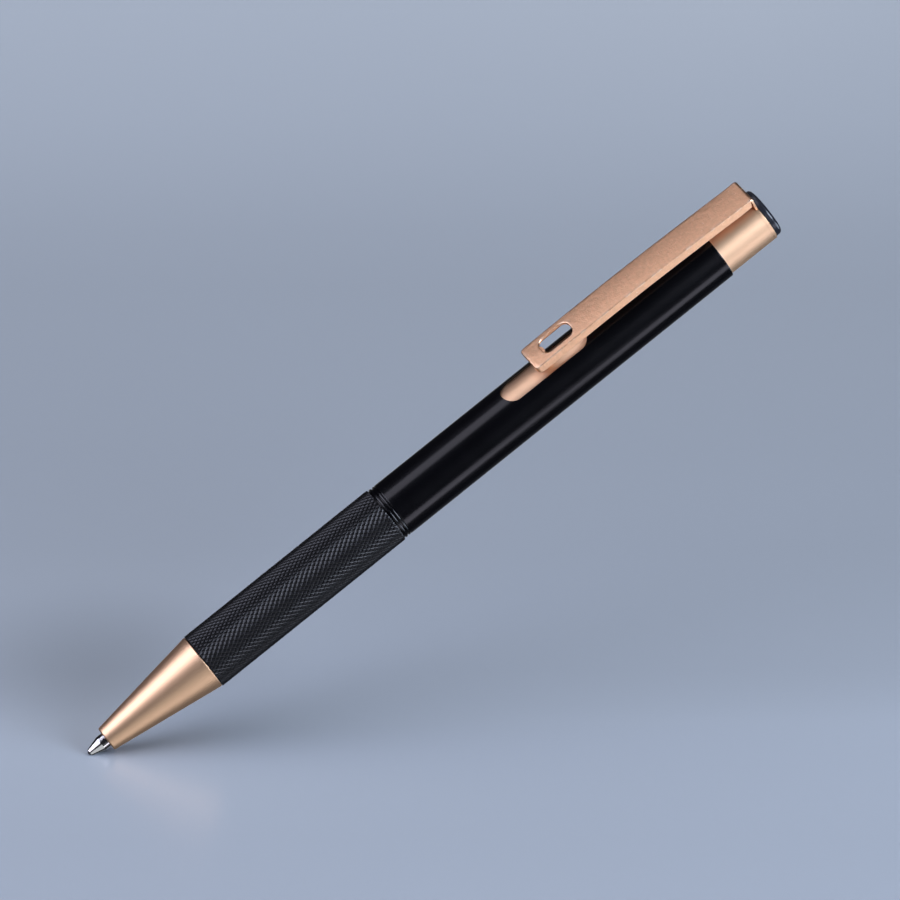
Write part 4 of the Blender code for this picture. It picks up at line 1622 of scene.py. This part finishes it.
    def window_loop(self, loop: np.ndarray, grow: float) -> np.ndarray:
        """Window's rounded rectangle with one point for each of a loop round it.

        Loop and rectangle are both divided into four sides at their corners' middles, and a
        point keeps its share of the side's length.

        Args:
            loop: The loop round the window.
            grow: How far the rectangle is moved outwards.

        Returns:
            Points of the rectangle.
        """
        _, ahead = self.side_runs()
        first_corner = len(ahead) + self.corner_steps // 2
        rear = len(loop) - self.cross_steps
        ends = [0, first_corner, rear - first_corner, rear, len(loop)]
        closed = np.concatenate([loop, loop[:1]])
        corner = self.window_corner + grow
        size = np.array([self.window_half_length, self.window_half_width])
        reach = size + grow - corner
        middle = np.array([self.window_middle, 0.0])
        signs = [np.array(sign) for sign in ((1, 1), (-1, 1), (-1, -1), (1, -1))]
        result = []
        for turn in range(4):
            stretch = closed[ends[turn] : ends[turn + 1] + 1]
            steps = np.linalg.norm(np.diff(stretch, axis=0), axis=1)
            shares = np.concatenate([[0.0], np.cumsum(steps)[:-1]]) / steps.sum()
            start = 45.0 + 90.0 * turn
            near = middle + signs[turn] * reach
            far = middle + signs[(turn + 1) % 4] * reach
            leave = arc(near, corner, start, start + 45.0, self.window_steps)
            arrive = arc(far, corner, start + 45.0, start + 90.0, self.window_steps)
            result.append(along(np.concatenate([leave, arrive]), shares))
        return np.concatenate(result)

    def front_face(self, skin: Skin) -> None:
        """Sheet round the window: face, round edge, window wall, round edge and ceiling.

        Args:
            skin: The surface that the sheet is added to.
        """
        outer = self.front_loop(self.edge)
        inner = self.front_loop(self.sheet + self.inner_inset)
        near = self.window_loop(outer, self.window_edge)
        far = self.window_loop(inner, self.small_edge)
        wall_top, wall_foot = self.window_edge, self.sheet - self.small_edge
        rows = []
        for share in (0.0, 0.25, 0.5, 0.75):
            rows.append((outer + (near - outer) * share, 0.0, 0.0))
        for share in (0.92, 1.0):
            rows.append((outer + (near - outer) * share, 0.0, 0.5))
        for angle in np.radians([22.5, 45.0, 67.5, 90.0]):
            loop = self.window_loop(outer, self.window_edge * (1.0 - math.sin(angle)))
            rows.append((loop, self.window_edge * (1.0 - math.cos(angle)), 1.0))
        for share in (0.1, 0.9):
            depth = wall_top + (wall_foot - wall_top) * share
            rows.append((self.window_loop(outer, 0.0), depth, 0.2))
        for angle in np.radians([0.0, 45.0, 90.0]):
            loop = self.window_loop(inner, self.small_edge * (1.0 - math.cos(angle)))
            rows.append((loop, self.sheet - self.small_edge * (1.0 - math.sin(angle)), 0.0))
        for share in (0.2, 0.6, 1.0):
            rows.append((far + (inner - far) * share, self.sheet, 0.0))
        loops, depths, marks = zip(*rows)
        flat = np.stack(loops)
        depth = np.array(depths)[:, None] * np.ones(flat.shape[1])
        grid = self.bend(flat[..., 0], flat[..., 1], depth)
        skin.grid(grid, around=True, marks=np.array(marks)[:, None])

    def foot(self, skin: Skin) -> None:
        """Round foot: a line with a round lower edge turned about an upright axis.

        Args:
            skin: The surface that the foot is added to.
        """
        station = self.front + self.foot_run
        top = float(self.lift(np.array(station))) - self.sheet / 2
        low, radius, edge = self.foot_low, self.foot_radius, self.foot_edge
        rounded = arc((low + edge, radius - edge), edge, 180, 90, 6)
        line = guarded([(low, 0.0), *rounded, (top, radius), (top, 0.0)], self.foot_spacing)
        angles = TURN * np.arange(self.foot_facets) / self.foot_facets
        points = [
            station + line[:, 1:] * np.cos(angles),
            line[:, 1:] * np.sin(angles),
            np.repeat(line[:, :1], self.foot_facets, 1),
        ]
        skin.grid(np.stack(points, -1), around=True)

    def disc(self) -> Skin:
        """Disc that the button clamps on the cap's end, with its screw hole, turned.

        Returns:
            The disc's surface.
        """
        rim = (self.disc_rear - self.disc_edge, self.disc_radius - self.disc_edge)
        outline = [
            *arc(rim, self.disc_edge, 0, 90, 4),
            (self.disc_front, self.disc_radius),
            (self.disc_front, self.disc_hole),
            (self.disc_rear, self.disc_hole),
        ]
        return turned_ring(outline)

    def build(self, wardrobe: Wardrobe) -> None:
        """Place the clip and its disc.

        Args:
            wardrobe: The materials.
        """
        skin = Skin()
        self.wall(skin)
        self.rear_face(skin, self.edge, 0.0)
        self.rear_face(skin, self.sheet + self.inner_inset, self.sheet)
        self.front_face(skin)
        self.end_cap(skin)
        self.foot(skin)
        clip = Piece("channel_clip", "clip", Body.PLUNGER, Slot.COPPER, "edge", 38.0)
        clip.place(skin, wardrobe)
        disc = Piece("clip_disc", "clip", Body.PLUNGER, Slot.CHAMPAGNE)
        disc.place(self.disc(), wardrobe)


# Studio


COOL = (1.0, 0.98, 1.17)
NOSE_TINT = (1.0, 1.05, 1.34)
FLOOR_TINT = (1.0, 1.06, 1.14)
CAP_TINT = (0.94, 1.12, 1.38)


@dataclass(frozen=True)
class Lamp:
    """Soft rectangular lamp that faces the pen's middle.

    around is its angle about the pen's axis from the camera, positive over the clip's side,
    and ahead its shift along the pen towards the button, both seen from the pen's middle.
    length is its size along the pen and width its size across. It shows in reflections unless
    shows is off.
    """

    name: str
    around: float
    ahead: float
    distance: float
    width: float
    length: float
    radiance: float
    tint: tuple = (1.0, 1.0, 1.0)
    shows: bool = True


class View(NamedTuple):
    """Directions in the frame: the picture's right, up and towards the camera, and the pen's own.

    along_pen leads along the pen towards its button and across straight over it towards the
    clip's side, both as the pen lies before the picture is rolled.
    """

    right: Vector
    up: Vector
    towards: Vector
    along_pen: Vector
    across: Vector


@dataclass
class Studio:
    """Camera, lamps, world and floor, with angles in degrees and sizes in millimetres.

    The sweep gives the floor's brightness as (share of its reach, level) pairs, which paint light
    in bands along the floor. The three fields after it give the middle, the radius and the least
    share of a painted shadow: a darker patch of floor behind the pen's tip.
    """

    roll: float = 38.72
    tilt: float = 3.4
    turn: float = 40.2
    distance: float = 1300.0
    frame_width: float = 144.69
    sensor_width: float = 36.0
    clip_range: tuple = (50.0, 20000.0)
    target_station: float = 75.77
    target_shift: float = 1.71
    backdrop: tuple = (0.314, 0.352, 0.418)
    room: tuple = (0.016, 0.016, 0.02)
    mirror_rise: float = 0.5
    mirror_fade: tuple = (0.8, 1.3)
    floor_drop: float = 24.0
    floor_half: float = 3000.0
    floor_shift: float = 500.0
    floor_tint: tuple = (0.52, 0.585, 0.68)
    floor_roughness: float = 0.22
    sweep_before: float = 100.0
    sweep_reach: float = 500.0
    # Painted light: the floor's brightness in bands by distance from the camera.
    sweep: tuple = (
        (0.0, 0.467),
        (0.14, 0.47),
        (0.19, 0.488),
        (0.225, 0.506),
        (0.262, 0.467),
        (0.304, 0.454),
        (0.36, 0.441),
        (0.44, 0.45),
        (0.587, 0.492),
        (0.64, 0.53),
        (0.75, 0.648),
        (0.868, 0.755),
    )
    # Painted shadow: a darker patch of floor behind the pen's tip.
    painted_shadow_offset: float = 32.0
    painted_shadow_radius: float = 38.0
    painted_shadow_least: float = 0.76
    lamps: tuple = (
        Lamp("key", 55.0, 75.0, 520.0, 265.0, 210.0, 1.25, COOL),
        Lamp("clip_key", 80.0, 230.0, 520.0, 200.0, 260.0, 1.0, COOL),
        Lamp("nose_key", 56.5, -190.0, 520.0, 490.0, 260.0, 3.4, NOSE_TINT),
        Lamp("grip_key", 50.0, -410.0, 520.0, 820.0, 190.0, 1.7, COOL),
        Lamp("nose_fill", -62.0, -220.0, 420.0, 600.0, 320.0, 0.62, FLOOR_TINT),
        Lamp("low_fill", -72.0, -25.0, 420.0, 165.0, 150.0, 1.45, COOL),
        Lamp("low_fill_rear", -83.0, 175.0, 420.0, 165.0, 250.0, 1.3, COOL),
        Lamp("front_strip", -31.0, 300.0, 480.0, 240.0, 210.0, 3.7, COOL),
        Lamp("end_fill", -32.0, 400.0, 400.0, 380.0, 260.0, 8.2, CAP_TINT),
        Lamp("rear_low", -102.0, 310.0, 430.0, 340.0, 240.0, 3.4, CAP_TINT),
        Lamp("back", 175.0, 0.0, 700.0, 500.0, 700.0, 0.25),
        Lamp("sky", 60.0, 517.0, 740.0, 1400.0, 1400.0, 2.0, shows=False),
    )

    @cached_property
    def view(self) -> View:
        """Directions of the view.

        The pen's own way across the view is first turned about its axis, then leaned away
        from the camera at its rear, and then rolled to its slope in the picture.

        Returns:
            The directions, in the frame.
        """
        turn, tilt, roll = (math.radians(angle) for angle in (self.turn, self.tilt, self.roll))
        level = Vector((0.0, -math.sin(turn), math.cos(turn)))
        across = Vector((0.0, math.cos(turn), math.sin(turn)))
        axis = Vector((1.0, 0.0, 0.0))
        towards = math.cos(tilt) * level - math.sin(tilt) * axis
        along_pen = math.cos(tilt) * axis + math.sin(tilt) * level
        right = math.cos(roll) * along_pen - math.sin(roll) * across
        up = math.sin(roll) * along_pen + math.cos(roll) * across
        return View(right, up, towards, along_pen, across)

    def target(self) -> Vector:
        """Point of the pen's axis that the lamps face."""
        return Vector(pen_point(self.target_station))

    def camera(self) -> None:
        """Long lens that faces the pen's middle at the photograph's angle."""
        view = self.view
        aim = self.target() + view.across * self.target_shift * MM
        data = bpy.data.cameras.new("camera")
        data.sensor_width = self.sensor_width
        data.lens = data.sensor_width * self.distance / self.frame_width
        data.clip_start, data.clip_end = (reach * MM for reach in self.clip_range)
        camera = bpy.data.objects.new("camera", data)
        turn = Matrix((view.right, view.up, view.towards)).transposed().to_4x4()
        camera.matrix_world = Matrix.Translation(aim + view.towards * self.distance * MM) @ turn
        bpy.context.scene.collection.objects.link(camera)
        bpy.context.scene.camera = camera

    def hang(self, lamp: Lamp) -> None:
        """Hang one lamp and face it to the pen; its power follows from its radiance.

        Args:
            lamp: The lamp.
        """
        view = self.view
        angle = math.radians(lamp.around)
        out = math.cos(angle) * view.towards + math.sin(angle) * view.across
        place = self.target() + out * lamp.distance * MM
        place += view.along_pen * lamp.ahead * MM
        data = bpy.data.lights.new(lamp.name, "AREA")
        data.shape = "RECTANGLE"
        data.size = lamp.length * MM
        data.size_y = lamp.width * MM
        data.energy = lamp.radiance * math.pi * data.size * data.size_y
        data.color = lamp.tint
        hung = bpy.data.objects.new(lamp.name, data)
        back = (place - self.target()).normalized()
        long_way = (view.along_pen - back * view.along_pen.dot(back)).normalized()
        turn = Matrix((long_way, back.cross(long_way), back)).transposed().to_4x4()
        hung.matrix_world = Matrix.Translation(place) @ turn
        hung.visible_camera = False
        hung.visible_glossy = lamp.shows
        bpy.context.scene.collection.objects.link(hung)

    def world(self) -> None:
        """Backdrop below and behind the pen, and a dim room before it.

        A straight look or a look through a clear thing meets the plain backdrop. A reflection
        meets the backdrop too, fading to the dim room towards the camera and the ceiling.
        """
        world = bpy.data.worlds.new("studio")
        world.use_nodes = True
        tree = world.node_tree
        tree.nodes.clear()
        nodes = Nodes(tree)
        sweep = -(self.view.up * self.mirror_rise + self.view.towards).normalized()
        look = nodes.node("ShaderNodeTexCoord", output="Generated")
        aim = nodes.vector("DOT_PRODUCT", {0: look, 1: tuple(sweep)}, "Value")
        straight = nodes.node("ShaderNodeLightPath", output="Is Camera Ray")
        through = nodes.node("ShaderNodeLightPath", output="Is Transmission Ray")
        mirrored = nodes.node("ShaderNodeLightPath", output="Is Glossy Ray")
        shown = straight + through + mirrored * aim.ramp(*self.mirror_fade)
        colour = nodes.blend(shown, (*self.room, 1.0), (*self.backdrop, 1.0))
        light = nodes.node("ShaderNodeBackground", values={"Color": colour})
        output = tree.nodes.new("ShaderNodeOutputWorld")
        nodes.feed(output.inputs["Surface"], light)
        bpy.context.scene.world = world

    def floor_finish(self, foot: Vector, away: Vector) -> bpy.types.Material:
        """Pale gloss in bands of painted light, with a painted shadow behind the tip, and clear
        from below.

        The sweep of painted light follows the dot product of a point with the way from the camera.
        The painted shadow follows the point's distance from a place behind the tip.

        Args:
            foot: Where the ball touches the floor.
            away: Way along the floor from the camera to the pen.

        Returns:
            The floor's material.
        """
        shader = Shader("floor")
        spot = shader.node("ShaderNodeTexCoord", output="Object")
        depth = shader.vector("DOT_PRODUCT", {0: spot, 1: tuple(away)}, "Value")
        start = float(foot.dot(away)) - self.sweep_before * MM
        share = (depth - start) * (1.0 / (self.sweep_reach * MM))
        tint = self.floor_tint
        # Painted light in bands along the floor.
        stops = [(place, tuple(level * part for part in tint)) for place, level in self.sweep]
        colour = shader.node("ShaderNodeValToRGB", {"stops": stops}, {0: share})
        # Painted shadow: the colour is darkened round a place behind the tip.
        centre = foot + away * self.painted_shadow_offset * MM
        beside = shader.vector("DISTANCE", {0: spot, 1: tuple(centre)}, "Value")
        clearing = beside.ramp(0.0, self.painted_shadow_radius * MM)
        painted_shadow_factor = clearing * (1.0 - self.painted_shadow_least) + self.painted_shadow_least
        painted_shadow_colour = shader.vector("SCALE", {0: colour, "Scale": painted_shadow_factor}, "Vector")
        material = shader.dress(base_color=painted_shadow_colour, roughness=self.floor_roughness)
        back = shader.node("ShaderNodeNewGeometry", output="Backfacing")
        clear = shader.node("ShaderNodeBsdfTransparent")
        surface = Socket(shader, shader.surface.outputs[0])
        mixed = shader.node("ShaderNodeMixShader", values={0: back, 1: surface, 2: clear})
        shader.feed(shader.output.inputs["Surface"], mixed)
        return material

    def floor(self) -> None:
        """Level floor that touches the ball; its normal is the picture's up, dropped forwards."""
        up, towards = self.view.up, self.view.towards
        drop = math.radians(self.floor_drop)
        normal = math.cos(drop) * up + math.sin(drop) * towards
        away = math.sin(drop) * up - math.cos(drop) * towards
        ball = FrontEnd.ball_radius
        foot = Vector(pen_point(ball)) - normal * ball * MM
        sideways = away.cross(normal)
        half, shift = self.floor_half * MM, self.floor_shift * MM
        corners = [
            foot + sideways * across * half + away * (far * half + shift)
            for across, far in ((-1, -1), (1, -1), (1, 1), (-1, 1))
        ]
        mesh = bpy.data.meshes.new("floor")
        mesh.from_pydata([tuple(corner) for corner in corners], [], [(0, 1, 2, 3)])
        if mesh.polygons[0].normal.dot(normal) < 0.0:
            mesh.flip_normals()
        floor = bpy.data.objects.new("floor", mesh)
        bpy.context.scene.collection.objects.link(floor)
        mesh.materials.append(self.floor_finish(foot, away))
        floor.visible_shadow = False
        floor.visible_glossy = False

    def build(self) -> None:
        """Set up the whole studio."""
        self.camera()
        for lamp in self.lamps:
            self.hang(lamp)
        self.world()
        self.floor()
        bpy.context.scene.view_settings.view_transform = "Standard"
        LOG.info("studio: %d lamps", len(self.lamps))


def main() -> None:
    """Build the studio and every visible piece."""
    logging.basicConfig(level=logging.INFO, format="%(name)s: %(message)s")
    wardrobe = Wardrobe()
    wardrobe.dress_frame()
    Studio().build()
    for group in (FrontEnd(), Grip(), Joint(), Barrel(), Cap(), Clip()):
        group.build(wardrobe)


if __name__ == "__main__":
    main()
